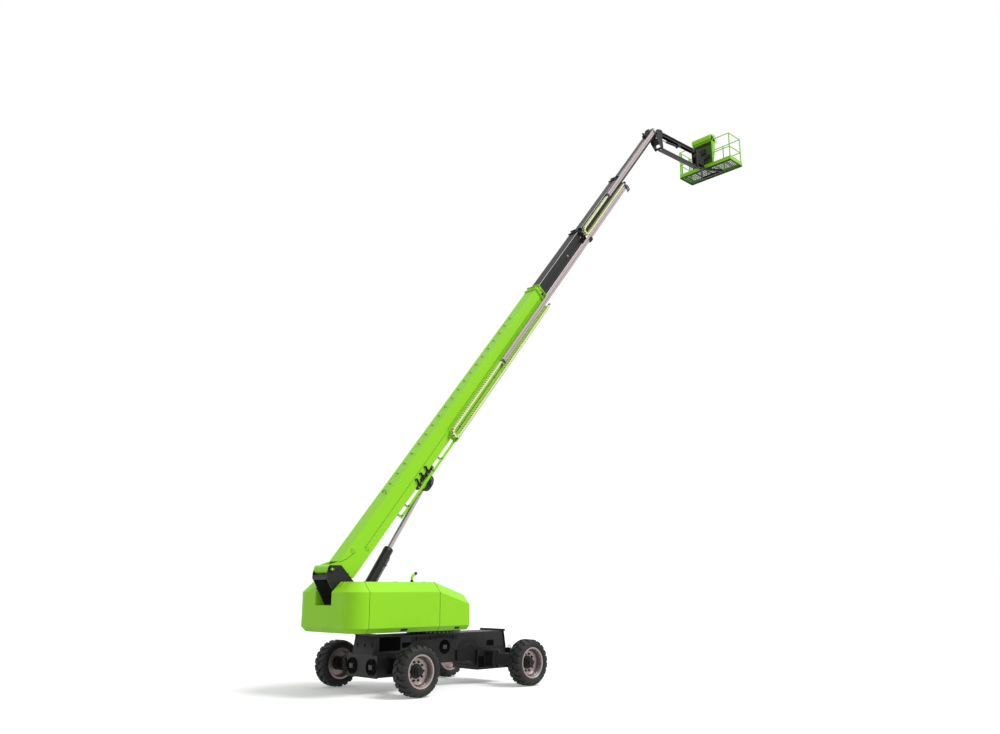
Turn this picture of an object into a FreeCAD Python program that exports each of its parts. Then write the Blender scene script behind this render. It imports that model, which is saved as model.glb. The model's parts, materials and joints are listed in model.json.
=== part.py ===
import FreeCAD, Part
import math
import os
import re

import Sketcher
from FreeCAD import Placement, Rotation, Vector

# Self-propelled telescopic boom lift, 42 m class, standing on its four spread wheels with
# the boom raised.  Millimetres and degrees.  +X points the way the boom reaches, +Y to the
# machine's left and +Z up, with the ground at z = 0.  Every formula below measures x from
# the turntable's swing axis; export_parts() then moves the origin under the middle of the
# overall length.
#
# Inclined groups are modelled in frames of their own: the boom in a frame at its pivot with
# x along the boom, the lift cylinder along its own axis, the jib at its upper pin, and each
# axle arm at its vertical pin.

# ---------------------------------------------------------------- driving dimensions

SIZES = {
    # wheels
    "tyre_diameter": 1155, "tyre_width": 445, "bead_diameter": 710, "flange_diameter": 770,
    "shoulder": 60, "rim_wall": 12, "disc_depth": 190, "disc_thickness": 18,
    "rim_well": 40, "hub_diameter": 300, "hub_length": 170, "bolt_circle": 425,
    # axle arms and steering
    "arm_pivot_x": 1600, "arm_pivot_y": 660, "arm_reach": 660, "arm_spread": 67.7,
    "king_offset": 367, "arm_half": 150, "arm_tip_half": 105, "arm_low": 455, "arm_high": 800,
    "arm_pin": 55, "arm_boss": 125, "king_pin": 45, "king_boss": 95, "pin_clearance": 0.5,
    "gap": 6, "drive_diameter": 330, "bracket_plate": 40,
    # chassis
    "frame_half": 420, "frame_top": 1320, "frame_low": 600, "frame_end": 2240,
    "frame_slope": 110, "frame_wall": 16, "box_half": 490, "end_half": 620, "box_top": 880, "box_low": 360,
    "box_start": 1120, "cover_radius": 190, "cover_place": 400,
    "ring_radius": 700, "ring_wall": 95, "ring_top": 1405, "swivel_hole": 260, "swivel_depth": 420,
    # turntable
    "deck_low": 1430, "deck_plate": 30, "deck_half": 1100, "body_half": 1245,
    "body_top": 2600, "bevel_in": 240, "bevel_drop": 240, "side_low": 1544, "low_in": 114,
    "tail_x": 3420, "seam_one": 2960, "seam_two": 830, "nose_x": 150, "nose_top": 2280,
    "nose_edge": 2055, "cover_wall": 8, "panel_seam": 8, "tail_corner": 480,
    "notch_half": 345, "notch_floor": 2055, "channel_half": 640, "panel_wall": 8, "strip_half": 720,
    # mast and boom pivot
    "pivot_x": 3430, "pivot_z": 2890, "mast_half": 290, "mast_plate": 30, "pivot_pin": 55,
    "pivot_boss": 105, "tie_back": 75, "tie_drop": 165, "tie_radius": 50,
    # boom, in its own frame
    "boom_angle": 51.1, "base_half": 225, "base_top": 95, "base_low": 600, "root_low": 665, "girder_end": 5240,
    "low_chamfer_y": 60, "low_chamfer_z": 190, "base_wall": 10, "base_start": 420,
    "base_end": 11590, "section_gap": 28, "section_drop": 25, "fly_wall": 8,
    "tail_one": 3800, "head_one": 14970, "tail_two": 7000, "head_two": 18530,
    "tail_three": 10200, "head_three": 22350, "collar_proud": 38, "collar_plate": 25,
    "collar_pitch": 190,
    # energy chains beside the boom
    "chain_y": 330, "chain_width": 100, "chain_thick": 58, "chain_reach": 125,
    "chain_one_inner": 503, "chain_two_inner": 180, "chain_one_end": 11390,
    "chain_one_bend": 5190, "chain_two_end": 18340, "chain_two_bend": 14860,
    "tube_radius": 34, "tube_one_tail": 8240, "tube_one_n": 575, "tube_two_tail": 17100,
    "tube_two_n": 210, "tray_start": 2300, "tray_wall": 5, "tray_depth": 150, "rail_depth": 105,
    # lift cylinder
    "lift_base_x": 2730, "lift_base_z": 1600, "lift_eye_d": 3670, "lift_eye_n": 935,
    "barrel_radius": 125, "barrel_length": 2180, "rod_radius": 65, "rod_length": 2750,
    "lift_pin": 45, "lift_boss": 80, "lug_gap": 135, "lug_plate": 35,
    # jib
    "tip_n": 420, "tip_half": 150, "tip_plate": 18, "tip_pin": 35, "jib_from_tip": 335,
    "jib_rise": 180, "link_x": 20, "link_z": 680, "jib_length": 2580, "jib_angle": 2.4,
    "jib_half": 80, "jib_depth": 160, "jib_wall": 10, "link_half": 62, "link_wall": 30,
    "link_depth": 92, "jib_pin": 25, "jib_base_drop": 260, "jib_base_back": 20, "jib_lug_x": 1350,
    "jib_lug_z": 150, "jib_eye_half": 52, "jib_barrel": 45, "jib_rod": 25,
    "jib_barrel_length": 810, "jib_rod_length": 900,
    # work platform
    "rotator_ahead": 465, "rotator_radius": 100, "rotator_low": 19740, "rotator_high": 20080,
    "floor_low": 19720, "floor_depth": 50, "cage_rear": 715, "cage_length": 910,
    "cage_half": 1250, "toe_height": 150, "cage_height": 1250, "mid_rail": 640,
    "post_radius": 23, "toe_wall": 6, "rail_radius": 19, "gate_rear": 130, "gate_width": 640,
    "console_half": 450, "console_left": 80, "hood_rise": 300, "console_depth": 260, "console_low": 200, "frame_arm": 40,
    # what stands in the bays, and the exhaust
    "engine_length": 1250, "engine_width": 370, "engine_height": 760,
    "tank_length": 1500, "tank_width": 370, "tank_height": 620, "exhaust_x": 1290,
    "exhaust_y": 677, "exhaust_radius": 32, "exhaust_height": 185,
}

# Names for lengths that follow from the sizes above.
FORMULAS = {
    "wheel_x": "arm_pivot_x + arm_reach * cos(arm_spread)",
    "king_y": "arm_pivot_y + arm_reach * sin(arm_spread)",
    "wheel_y": "king_y + king_offset",
    "wheel_z": "tyre_diameter / 2",
    "seat": "pin_clearance",
    "lift_eye_x": "0 - pivot_x + lift_eye_d * cos(boom_angle) + lift_eye_n * sin(boom_angle)",
    "lift_eye_z": "pivot_z + lift_eye_d * sin(boom_angle) - lift_eye_n * cos(boom_angle)",
    "lift_angle": "atan((lift_eye_z - lift_base_z) / (lift_eye_x + lift_base_x))",
    "lift_length": "sqrt((lift_eye_z - lift_base_z)^2 + (lift_eye_x + lift_base_x)^2)",
    "tip_d": "head_three - 60",
    "tip_x": "0 - pivot_x + tip_d * cos(boom_angle) + tip_n * sin(boom_angle)",
    "tip_z": "pivot_z + tip_d * sin(boom_angle) - tip_n * cos(boom_angle)",
    "jib_x": "tip_x + jib_from_tip",
    "jib_z": "tip_z + jib_rise",
    "jib_end_x": "jib_x + jib_length * cos(jib_angle)",
    "jib_end_z": "jib_z + jib_length * sin(jib_angle)",
    "rotor_x": "jib_end_x + rotator_ahead",
    "jib_lug_reach": "jib_lug_x * cos(jib_angle) + jib_lug_z * sin(jib_angle)",
    "jib_lug_rise": "jib_lug_x * sin(jib_angle) - jib_lug_z * cos(jib_angle)",
    "jib_cyl_rise": "jib_lug_rise + jib_base_drop",
    "jib_cyl_reach": "jib_lug_reach + jib_base_back",
    "jib_cyl_angle": "180 deg + atan(jib_cyl_rise / jib_cyl_reach)",
    "jib_cyl_length": "sqrt(jib_cyl_rise^2 + jib_cyl_reach^2)",
    "link_out": "link_half + link_wall",
    "nose_tilt": "atan((body_top - bevel_drop - nose_edge) / (nose_x + seam_two))",
    "nose_fall": "(body_top - nose_top) / (nose_x + seam_two)",
    "strip_end": "body_top - (nose_fall) * (nose_x - 150 + seam_two)",
}

NAME = re.compile(r"[a-z][a-z_]*")


def spell(formula):
    """Write a formula of plain names as one that reads the sheet."""
    def word(found):
        name = found.group(0)
        if name in SIZES:
            return "Sizes." + name
        if name in FORMULAS:
            return "(" + spell(FORMULAS[name]) + ")"
        return name
    return NAME.sub(word, str(formula))


def minus(formula):
    return "0 - (" + str(formula) + ")"


def plus(*terms):
    return " + ".join("(" + str(term) + ")" for term in terms)


def measure(formula):
    """The number that a formula comes to."""
    answer = SHEET.evalExpression(spell(formula))
    return float(getattr(answer, "Value", answer))


def make_sheet():
    sheet = DOC.addObject("Spreadsheet::Sheet", "Sizes")
    for row, (name, number) in enumerate(SIZES.items(), start=1):
        sheet.set("A%d" % row, name)
        sheet.set("B%d" % row, str(number))
        sheet.setAlias("B%d" % row, name)
    DOC.recompute()
    return sheet


DOC = FreeCAD.newDocument("boom_lift")
SHEET = make_sheet()
PARTS = []

# ---------------------------------------------------------------- frames

TURN_Y = Vector(0, -1, 0)
DIP_Y = Vector(0, 1, 0)
TURN_Z = Vector(0, 0, 1)


def frame(x=0, y=0, z=0, axis=TURN_Z, angle=0):
    return {"x": x, "y": y, "z": z, "axis": axis, "angle": angle}


GROUND = frame()
BOOM = frame(minus("pivot_x"), 0, "pivot_z", TURN_Y, "boom_angle")
NOSE = frame(minus("seam_two"), 0, "body_top - bevel_drop", DIP_Y, "nose_tilt")
LIFT = frame(minus("lift_base_x"), 0, "lift_base_z", TURN_Y, "lift_angle")
TIP = frame("tip_x", 0, "tip_z")
JIB = frame("jib_x", 0, "jib_z", TURN_Y, "jib_angle")
LINK = frame("jib_x + link_x", 0, "jib_z - link_z", TURN_Y, "jib_angle")
JIB_CYLINDER = frame("jib_x + jib_lug_reach", 0, "jib_z + jib_lug_rise", TURN_Y, "jib_cyl_angle")
JIB_END = frame("jib_end_x", 0, "jib_end_z")
CAGE = frame("rotor_x", 0, 0)

CORNERS = {
    "front_left": (1, 1), "front_right": (1, -1),
    "rear_left": (-1, 1), "rear_right": (-1, -1),
}


def arm_frame(ahead, left):
    """At an arm's vertical pin, with x along the arm."""
    angle = "arm_spread" if ahead > 0 else "180 - arm_spread"
    if left < 0:
        angle = minus(angle)
    return frame("arm_pivot_x * %d" % ahead, "arm_pivot_y * %d" % left, 0, TURN_Z, angle)


def wheel_frame(ahead, left):
    """At a wheel's centre, with y pointing away from the machine."""
    turn = 0 if left > 0 else 180
    return frame("(wheel_x) * %d" % ahead, "(wheel_y) * %d" % left, "wheel_z", TURN_Z, turn)


def place(thing, where):
    thing.Placement = Placement(
        Vector(measure(where["x"]), measure(where["y"]), measure(where["z"])),
        Rotation(where["axis"], measure(where["angle"]) or 1e-9))
    for letter in "xyz":
        thing.setExpression("Placement.Base." + letter, spell(where[letter]))
    if where["angle"] != 0:
        thing.setExpression("Placement.Rotation.Angle", spell(where["angle"]))


# ---------------------------------------------------------------- sketches and features

def new_part(label, where=GROUND):
    body = DOC.addObject("PartDesign::Body", label)
    body.Label = label
    place(body, where)
    PARTS.append(body)
    return body


def new_sketch(body, plane, offset):
    sketch = body.newObject("Sketcher::SketchObject", body.Name + "_outline")
    support = [f for f in body.Origin.OriginFeatures if f.Role == plane + "_Plane"][0]
    sketch.AttachmentSupport = [(support, "")]
    sketch.MapMode = "FlatFace"
    sketch.AttachmentOffset = Placement(Vector(0, 0, measure(offset)), Rotation())
    sketch.setExpression("AttachmentOffset.Base.z", spell(offset))
    return sketch


def hold(sketch, kind, first, second, formula):
    """Add one dimension to a sketch and bind it to its formula."""
    places = [first[0], first[1]] + ([second[0], second[1]] if second else [])
    number = sketch.addConstraint(Sketcher.Constraint(kind, *places, measure(formula)))
    sketch.setExpression("Constraints[%d]" % number, spell(formula))


def draw_outline(sketch, points):
    """A closed outline of straight edges through points given as formulas."""
    corners = [Vector(measure(a), measure(b), 0) for a, b in points]
    start = sketch.GeometryCount
    count = len(points)
    for index in range(count):
        sketch.addGeometry(Part.LineSegment(corners[index], corners[(index + 1) % count]))
    for index in range(count):
        following = start + (index + 1) % count
        sketch.addConstraint(Sketcher.Constraint("Coincident", start + index, 2, following, 1))
    for index, (across, up) in enumerate(points):
        hold(sketch, "DistanceX", (-1, 1), (start + index, 1), across)
        hold(sketch, "DistanceY", (-1, 1), (start + index, 1), up)


def draw_circle(sketch, centre, radius):
    middle = Vector(measure(centre[0]), measure(centre[1]), 0)
    number = sketch.addGeometry(Part.Circle(middle, Vector(0, 0, 1), measure(radius)))
    hold(sketch, "DistanceX", (-1, 1), (number, 3), centre[0])
    hold(sketch, "DistanceY", (-1, 1), (number, 3), centre[1])
    sketch.addConstraint(Sketcher.Constraint("Radius", number, measure(radius)))
    sketch.setExpression("Constraints[%d]" % (sketch.ConstraintCount - 1), spell(radius))


def sweep(body, kind, plane, low, high, draw):
    """Pad or pocket a sketch between two levels along the plane's normal axis."""
    backward = plane == "XZ"
    near = (kind == "Pocket") != backward
    level = high if near else low
    offset = minus(level) if backward else level
    sketch = new_sketch(body, plane, offset)
    draw(sketch)
    feature = body.newObject("PartDesign::" + kind, body.Name + "_" + kind.lower())
    feature.Profile = sketch
    length = plus(high, minus(low))
    feature.Length = measure(length)
    feature.setExpression("Length", spell(length))
    return feature


def add_slab(body, plane, points, low, high):
    return sweep(body, "Pad", plane, low, high, lambda s: draw_outline(s, points))


def cut_slab(body, plane, points, low, high):
    return sweep(body, "Pocket", plane, low, high, lambda s: draw_outline(s, points))


def add_disc(body, plane, centre, radius, low, high):
    return sweep(body, "Pad", plane, low, high, lambda s: draw_circle(s, centre, radius))


def cut_disc(body, plane, centre, radius, low, high):
    return sweep(body, "Pocket", plane, low, high, lambda s: draw_circle(s, centre, radius))


def add_turned(body, points, plane="XY", axis="V_Axis"):
    """Turn an outline about one of its sketch's axes."""
    sketch = new_sketch(body, plane, 0)
    draw_outline(sketch, points)
    feature = body.newObject("PartDesign::Revolution", body.Name + "_turned")
    feature.Profile = sketch
    feature.ReferenceAxis = (sketch, [axis])
    feature.Angle = 360
    return feature


def add_box(body, x, y, z):
    """A block between pairs of levels."""
    points = rectangle(x[0], x[1], y[0], y[1])
    return add_slab(body, "XY", points, z[0], z[1])


def rectangle(left, right, low, high):
    return [(left, low), (right, low), (right, high), (left, high)]


def mirrored(points, about="a"):
    """The points, and then their mirror image in reverse order."""
    if about == "a":
        return points + [(minus(a), b) for a, b in reversed(points)]
    return points + [(a, minus(b)) for a, b in reversed(points)]


def round_edges(body, radius, chosen):
    """Fillet the edges of the newest feature for which chosen(edge) holds."""
    DOC.recompute()
    base = body.Tip
    names = ["Edge%d" % (i + 1) for i, edge in enumerate(base.Shape.Edges) if chosen(edge)]
    if not names:
        raise ValueError("no edge to round on " + body.Label)
    feature = body.newObject("PartDesign::Fillet", body.Name + "_fillet")
    feature.Base = (base, names)
    feature.Radius = measure(radius)
    feature.setExpression("Radius", spell(radius))
    return feature


def bevel_edges(body, size, chosen):
    """Chamfer the edges of the newest feature for which chosen(edge) holds."""
    DOC.recompute()
    base = body.Tip
    names = ["Edge%d" % (i + 1) for i, edge in enumerate(base.Shape.Edges) if chosen(edge)]
    if not names:
        raise ValueError("no edge to bevel on " + body.Label)
    feature = body.newObject("PartDesign::Chamfer", body.Name + "_bevel")
    feature.Base = (base, names)
    feature.Size = measure(size)
    feature.setExpression("Size", spell(size))
    return feature


def shell(body, wall, opened):
    """Hollow a body to a wall, leaving out the faces for which opened(face) holds."""
    DOC.recompute()
    base = body.Tip
    names = ["Face%d" % (i + 1) for i, face in enumerate(base.Shape.Faces) if opened(face)]
    if len(names) < 1:
        raise ValueError("no face to open on " + body.Label)
    feature = body.newObject("PartDesign::Thickness", body.Name + "_shell")
    feature.Base = (base, names)
    feature.Value = measure(wall)
    feature.setExpression("Value", spell(wall))
    feature.Reversed = True
    feature.Join = "Intersection"
    return feature


def is_along(edge, letter):
    """Whether an edge is straight and runs along one axis of its body."""
    if not isinstance(edge.Curve, Part.Line):
        return False
    return abs(getattr(edge.Curve.Direction, letter)) > 0.999


# ---------------------------------------------------------------- wheels and axle arms

def make_tyre(corner, ahead, left):
    part = new_part("tyre_" + corner, wheel_frame(ahead, left))
    half = "tyre_width / 2"
    add_turned(part, mirrored([
        ("bead_diameter / 2", "tyre_width * 0.40"),
        ("flange_diameter / 2 + 2", "tyre_width * 0.40"),
        ("flange_diameter / 2 + 2", "tyre_width * 0.40 + 15"),
        ("bead_diameter / 2 + 55", "tyre_width * 0.47"),
        ("tyre_diameter / 2 - shoulder - 45", half),
        ("tyre_diameter / 2 - shoulder", "tyre_width / 2 - 8"),
        ("tyre_diameter / 2 - 16", "tyre_width / 2 - shoulder * 0.6"),
        ("tyre_diameter / 2", "tyre_width / 2 - shoulder * 1.6"),
    ], about="b"))


def make_rim(corner, ahead, left):
    """A deep-dish rim: barrel with a well, flat disc, and the drive's planetary cap."""
    part = new_part("rim_" + corner, wheel_frame(ahead, left))
    bead = "bead_diameter / 2"
    face = "tyre_width * 0.40 - disc_depth"
    add_turned(part, [
        ("0", plus(face, "hub_length")),
        ("hub_diameter * 0.32", plus(face, "hub_length")),
        ("hub_diameter / 2 - 12", plus(face, "hub_length - 40")),
        ("hub_diameter / 2", plus(face, "hub_length * 0.45")),
        ("hub_diameter / 2", face),
        (plus(bead, minus("rim_well + rim_wall")), face),
        (plus(bead, minus("rim_well + rim_wall")), plus(face, "disc_depth * 0.35")),
        (plus(bead, minus("rim_wall")), plus(face, "disc_depth * 0.55")),
        (plus(bead, minus("rim_wall")), "tyre_width * 0.40"),
        ("flange_diameter / 2", "tyre_width * 0.40 + 12"),
        ("flange_diameter / 2", "tyre_width * 0.40"),
        (bead, "tyre_width * 0.40"),
        (bead, minus("tyre_width * 0.40")),
        ("flange_diameter / 2", minus("tyre_width * 0.40")),
        ("flange_diameter / 2", minus("tyre_width * 0.40 + 12")),
        (plus(bead, minus("rim_wall")), minus("tyre_width * 0.40")),
        (plus(bead, minus("rim_wall + rim_well")), minus("tyre_width * 0.20")),
        (plus(bead, minus("rim_wall + rim_well")), plus(face, minus("disc_thickness"))),
        ("0", plus(face, minus("disc_thickness"))),
    ])


def make_axle_arm(corner, ahead, left):
    """A tapering box arm between its vertical pin's boss and the kingpin fork."""
    part = new_part("axle_arm_" + corner, arm_frame(ahead, left))
    add_disc(part, "XY", (0, 0), "arm_boss", "arm_low", "arm_high")
    add_slab(part, "XY", mirrored([
        ("arm_reach - king_boss - 40", "arm_tip_half"), ("0", "arm_half * 0.8"),
    ], about="b"), "arm_low + 25", "arm_high - 25")
    for low, high in (("arm_low + 25", "arm_low + 25 + bracket_plate"),
                      ("arm_high - 25 - bracket_plate", "arm_high - 25")):
        add_slab(part, "XY", mirrored([
            ("arm_reach", "arm_tip_half"), ("arm_reach - king_boss - 60", "arm_tip_half"),
        ], about="b"), low, high)
        add_disc(part, "XY", ("arm_reach", 0), "arm_tip_half", low, high)
    add_disc(part, "XY", ("arm_reach", 0), "king_pin", "arm_low + 25", "arm_high - 25")
    cut_disc(part, "XY", (0, 0), "arm_pin + seat", "arm_low", "arm_high")


def make_knuckle(corner, ahead, left):
    """The steering knuckle: kingpin boss, motor and the drive that reaches into the rim."""
    where = wheel_frame(ahead, left)
    part = new_part("steering_knuckle_" + corner, where)
    low = plus("arm_low + 25 + bracket_plate + gap", minus("wheel_z"))
    high = plus("arm_high - 25 - bracket_plate - gap", minus("wheel_z"))
    inner = minus("king_offset")
    disc_back = "tyre_width * 0.40 - disc_depth - disc_thickness"
    add_disc(part, "XY", (0, inner), "king_boss", low, high)
    add_disc(part, "XZ", (0, 0), "drive_diameter / 2",
             plus(inner, "king_boss + 25"), plus(disc_back, minus("gap")))
    add_box(part, ("0 - king_boss * 0.9", "king_boss * 0.9"),
            (inner, plus(inner, "king_boss + 40")), (low, high))
    cut_disc(part, "XY", (0, inner), "king_pin + seat", low, high)


def make_corner(corner, ahead, left):
    make_axle_arm(corner, ahead, left)
    make_knuckle(corner, ahead, left)
    make_rim(corner, ahead, left)
    make_tyre(corner, ahead, left)


# ---------------------------------------------------------------- chassis

def frame_outline(inset):
    """Side view of the frame's main beam, moved inwards by a wall."""
    end = plus("frame_end", minus(inset))
    return mirrored([
        (plus("frame_end - frame_slope", minus(inset)), plus("frame_top", minus(inset))),
        (end, plus("box_top", inset)),
        (end, plus("box_low", inset)),
        (plus("box_start + 120", inset), plus("box_low", inset)),
        (plus("box_start - 180", inset), plus("frame_low", inset)),
    ])


def make_chassis():
    part = new_part("chassis_frame")
    add_slab(part, "XZ", frame_outline("0"), minus("frame_half"), "frame_half")
    for ahead in (1, -1):
        span = ("box_start", "frame_end") if ahead > 0 else (
            minus("frame_end"), minus("box_start"))
        add_slab(part, "YZ", rectangle(minus("box_half"), "box_half", "box_low", "box_top"),
                 *span)
        plate = ("frame_end - 30", "frame_end") if ahead > 0 else (
            minus("frame_end"), minus("frame_end - 30"))
        add_slab(part, "YZ", rectangle(minus("end_half"), "end_half", "box_low", "box_top"),
                 *plate)
        disc = ("frame_end - 5", "frame_end + 25") if ahead > 0 else (
            minus("frame_end + 25"), minus("frame_end - 5"))
        for left in (1, -1):
            add_clevis(part, ahead, left)
            add_disc(part, "YZ", ("cover_place * %d" % left, "box_low + 250"), "cover_radius",
                     *disc)
    cut_slab(part, "XZ", frame_outline("frame_wall"),
             minus("frame_half - frame_wall"), "frame_half - frame_wall")
    cut_disc(part, "XY", (0, 0), "swivel_hole", "frame_top - frame_wall - 10", "frame_top + 10")
    add_ring(part, "ring_radius - ring_wall", "ring_radius", "frame_top", "ring_top")


def add_clevis(part, ahead, left):
    """Upper and lower plates that hold an arm's vertical pin."""
    pin_x, pin_y = "arm_pivot_x * %d" % ahead, "arm_pivot_y * %d" % left
    wide = "arm_boss + 90"
    inside = "(box_half - 20) * %d" % left
    for low, high in (("arm_low - gap - bracket_plate", "arm_low - gap"),
                      ("arm_high + gap", "arm_high + gap + bracket_plate")):
        near, far = plus(pin_x, minus(wide)), plus(pin_x, wide)
        tip_near, tip_far = plus(pin_x, "0 - arm_boss"), plus(pin_x, "arm_boss")
        add_slab(part, "XY", [(near, inside), (far, inside), (tip_far, pin_y),
                              (tip_near, pin_y)], low, high)
        add_disc(part, "XY", (pin_x, pin_y), "arm_boss", low, high)
    add_disc(part, "XY", (pin_x, pin_y), "arm_pin", "arm_low - gap", "arm_high + gap")


def add_ring(body, inner, outer, low, high):
    def draw(sketch):
        draw_circle(sketch, (0, 0), outer)
        draw_circle(sketch, (0, 0), inner)
    return sweep(body, "Pad", "XY", low, high, draw)


# ---------------------------------------------------------------- turntable

def make_deck():
    """Turntable base plate with the inner half of the slewing ring."""
    part = new_part("turntable_deck")
    add_slab(part, "XY", rectangle(minus("seam_one + panel_seam"), "nose_x - 130",
                                   minus("deck_half"), "deck_half"),
             "deck_low", "deck_low + deck_plate")
    add_ring(part, "ring_radius - ring_wall * 2", "ring_radius - ring_wall - gap",
             "frame_top + gap * 3", "deck_low")
    add_disc(part, "XY", (0, 0), "swivel_hole - gap * 4", "frame_top - swivel_depth", "deck_low")


MAST_OUTLINE = [
    (minus("pivot_x + 125"), "pivot_z - 200"), (minus("pivot_x + 122"), "pivot_z - 90"),
    (minus("pivot_x + 72"), "pivot_z + 66"), (minus("pivot_x + 40"), "pivot_z + 95"),
    (minus("pivot_x - 270"), "pivot_z + 95"), (minus("pivot_x - 650"), "body_top"),
    (minus("lift_base_x - 620"), "lift_base_z + 200"),
    (minus("lift_base_x - 620"), "deck_low + deck_plate"),
    (minus("seam_one + panel_seam"), "deck_low + deck_plate"),
    (minus("seam_one + panel_seam"), "notch_floor + gap"),
    (minus("seam_one + 215"), "notch_floor + gap"),
]


def make_mast():
    """Two mast plates, the tube that ties them behind the boom, and both pivot pins."""
    part = new_part("mast")
    inner, outer = "mast_half", "mast_half + mast_plate"
    add_slab(part, "XZ", MAST_OUTLINE, inner, outer)
    add_slab(part, "XZ", MAST_OUTLINE, minus(outer), minus(inner))
    add_disc(part, "XZ", (minus("pivot_x + tie_back"), "pivot_z - tie_drop"), "tie_radius",
             minus("mast_half + 5"), "mast_half + 5")
    add_disc(part, "XZ", (minus("pivot_x"), "pivot_z"), "pivot_pin",
             minus("mast_half + mast_plate + 15"), "mast_half + mast_plate + 15")
    add_disc(part, "XZ", (minus("lift_base_x"), "lift_base_z"), "lift_pin",
             minus("mast_half + 5"), "mast_half + 5")
    for side in (1, -1):
        levels = ("lug_gap", "mast_half + 5") if side > 0 else (
            minus("mast_half + 5"), minus("lug_gap"))
        add_disc(part, "XZ", (minus("lift_base_x"), "lift_base_z"), "lift_boss", *levels)


def shell_section(inset):
    """Half cross-section of the body cowls outside the channel, moved inwards."""
    top = plus("body_top", minus(inset))
    low = plus("deck_low", inset)
    side = plus("body_half", minus(inset))
    return [
        ("strip_half + panel_seam", top),
        ("body_half - bevel_in - (%s) * 0.4" % inset, top),
        (side, "body_top - bevel_drop - (%s) * 0.4" % inset),
        (side, plus("side_low", inset)),
        (plus("body_half - low_in", minus(inset)), low),
    ]


def closed_section(inset, left):
    """The cowl's section as an outline, shut along its inner face."""
    points = shell_section(inset)
    shut = [(points[0][0], points[-1][1])]
    whole = points + shut
    if left > 0:
        return whole
    return [(minus(a), b) for a, b in whole]


def make_counterweight():
    """Cast counterweight: rounded rear corners, bevels all round, and the mast's notch."""
    part = new_part("counterweight")
    front = minus("seam_one + panel_seam")
    add_box(part, (minus("tail_x"), front), (minus("body_half"), "body_half"),
            ("deck_low", "body_top"))
    round_edges(part, "tail_corner - panel_seam - 30",
                lambda edge: is_along(edge, "z") and edge.CenterOfMass.x < -measure("tail_x") + 5)
    for level, size in (("body_top", "bevel_in"), ("deck_low", "low_in")):
        height, stop = measure(level), measure(front)
        bevel_edges(part, size, lambda edge: abs(edge.BoundBox.ZMin - height) < 0.01
                    and abs(edge.BoundBox.ZMax - height) < 0.01
                    and edge.CenterOfMass.x < stop - 1)
    cut_slab(part, "YZ", mirrored([
        ("notch_half", "body_top + 10"), ("notch_half", "notch_floor"),
    ]), minus("tail_x + 10"), minus("seam_one - 10"))


def make_bay_panel(side, left):
    """The wall between a bay and the boom's channel, with its hinge strip on top."""
    part = new_part("bay_panel_" + side)
    end = "nose_x - 150"
    wall = ["channel_half - panel_wall - gap", "channel_half - gap"]
    strip = ["channel_half - panel_wall - gap", "strip_half"]
    if left < 0:
        wall, strip = [[minus(b), minus(a)] for a, b in (wall, strip)]
    rear = minus("seam_one - gap")
    add_slab(part, "XZ", [
        (rear, "deck_low + deck_plate"), (rear, "body_top"), (minus("seam_two"), "body_top"),
        (end, "strip_end"), (end, "deck_low + deck_plate"),
    ], *wall)
    add_slab(part, "XZ", [
        (rear, "body_top - panel_wall"), (rear, "body_top"), (minus("seam_two"), "body_top"),
        (end, "strip_end"), (end, "strip_end - panel_wall"),
        (minus("seam_two"), "body_top - panel_wall"),
    ], *strip)
    if left < 0:
        cut_disc(part, "XY", (minus("exhaust_x"), minus("exhaust_y")), "exhaust_radius + gap",
                 "body_top - panel_wall - 5", "body_top + 5")


def make_side_cover(side, left):
    """Gull-wing cover over a bay: top, bevel, side and tucked-in lower edge."""
    part = new_part("side_cover_" + side)
    start, end = minus("seam_one"), minus("seam_two + panel_seam")
    add_slab(part, "YZ", closed_section("0", left), start, end)
    cut_slab(part, "YZ", closed_section("cover_wall", left),
             plus(start, "cover_wall"), plus(end, minus("cover_wall")))
    open_inside(part, left, start, end)


def open_inside(part, left, start, end):
    """Leave a cowl open towards the channel and below."""
    y = ["channel_half", "strip_half + panel_seam + 1"]
    if left < 0:
        y = [minus(y[1]), minus(y[0])]
    cut_slab(part, "XY", rectangle(plus(start, "cover_wall"), plus(end, minus("cover_wall")),
                                   y[0], y[1]), "deck_low - 1", "body_top - cover_wall")
    y = ["channel_half", "body_half - low_in - cover_wall * 2"]
    if left < 0:
        y = [minus(y[1]), minus(y[0])]
    cut_slab(part, "XY", rectangle(plus(start, minus(1)), plus(end, 1), y[0], y[1]),
             "deck_low - 1", "deck_low + deck_plate + gap")


def on_nose(x, z):
    """A point of the side view, given in the front covers' tilted frame."""
    ahead, up = plus(x, "seam_two"), plus(z, minus("body_top - bevel_drop"))
    return ("(%s) * cos(nose_tilt) - (%s) * sin(nose_tilt)" % (ahead, up),
            "(%s) * sin(nose_tilt) + (%s) * cos(nose_tilt)" % (ahead, up))


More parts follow.
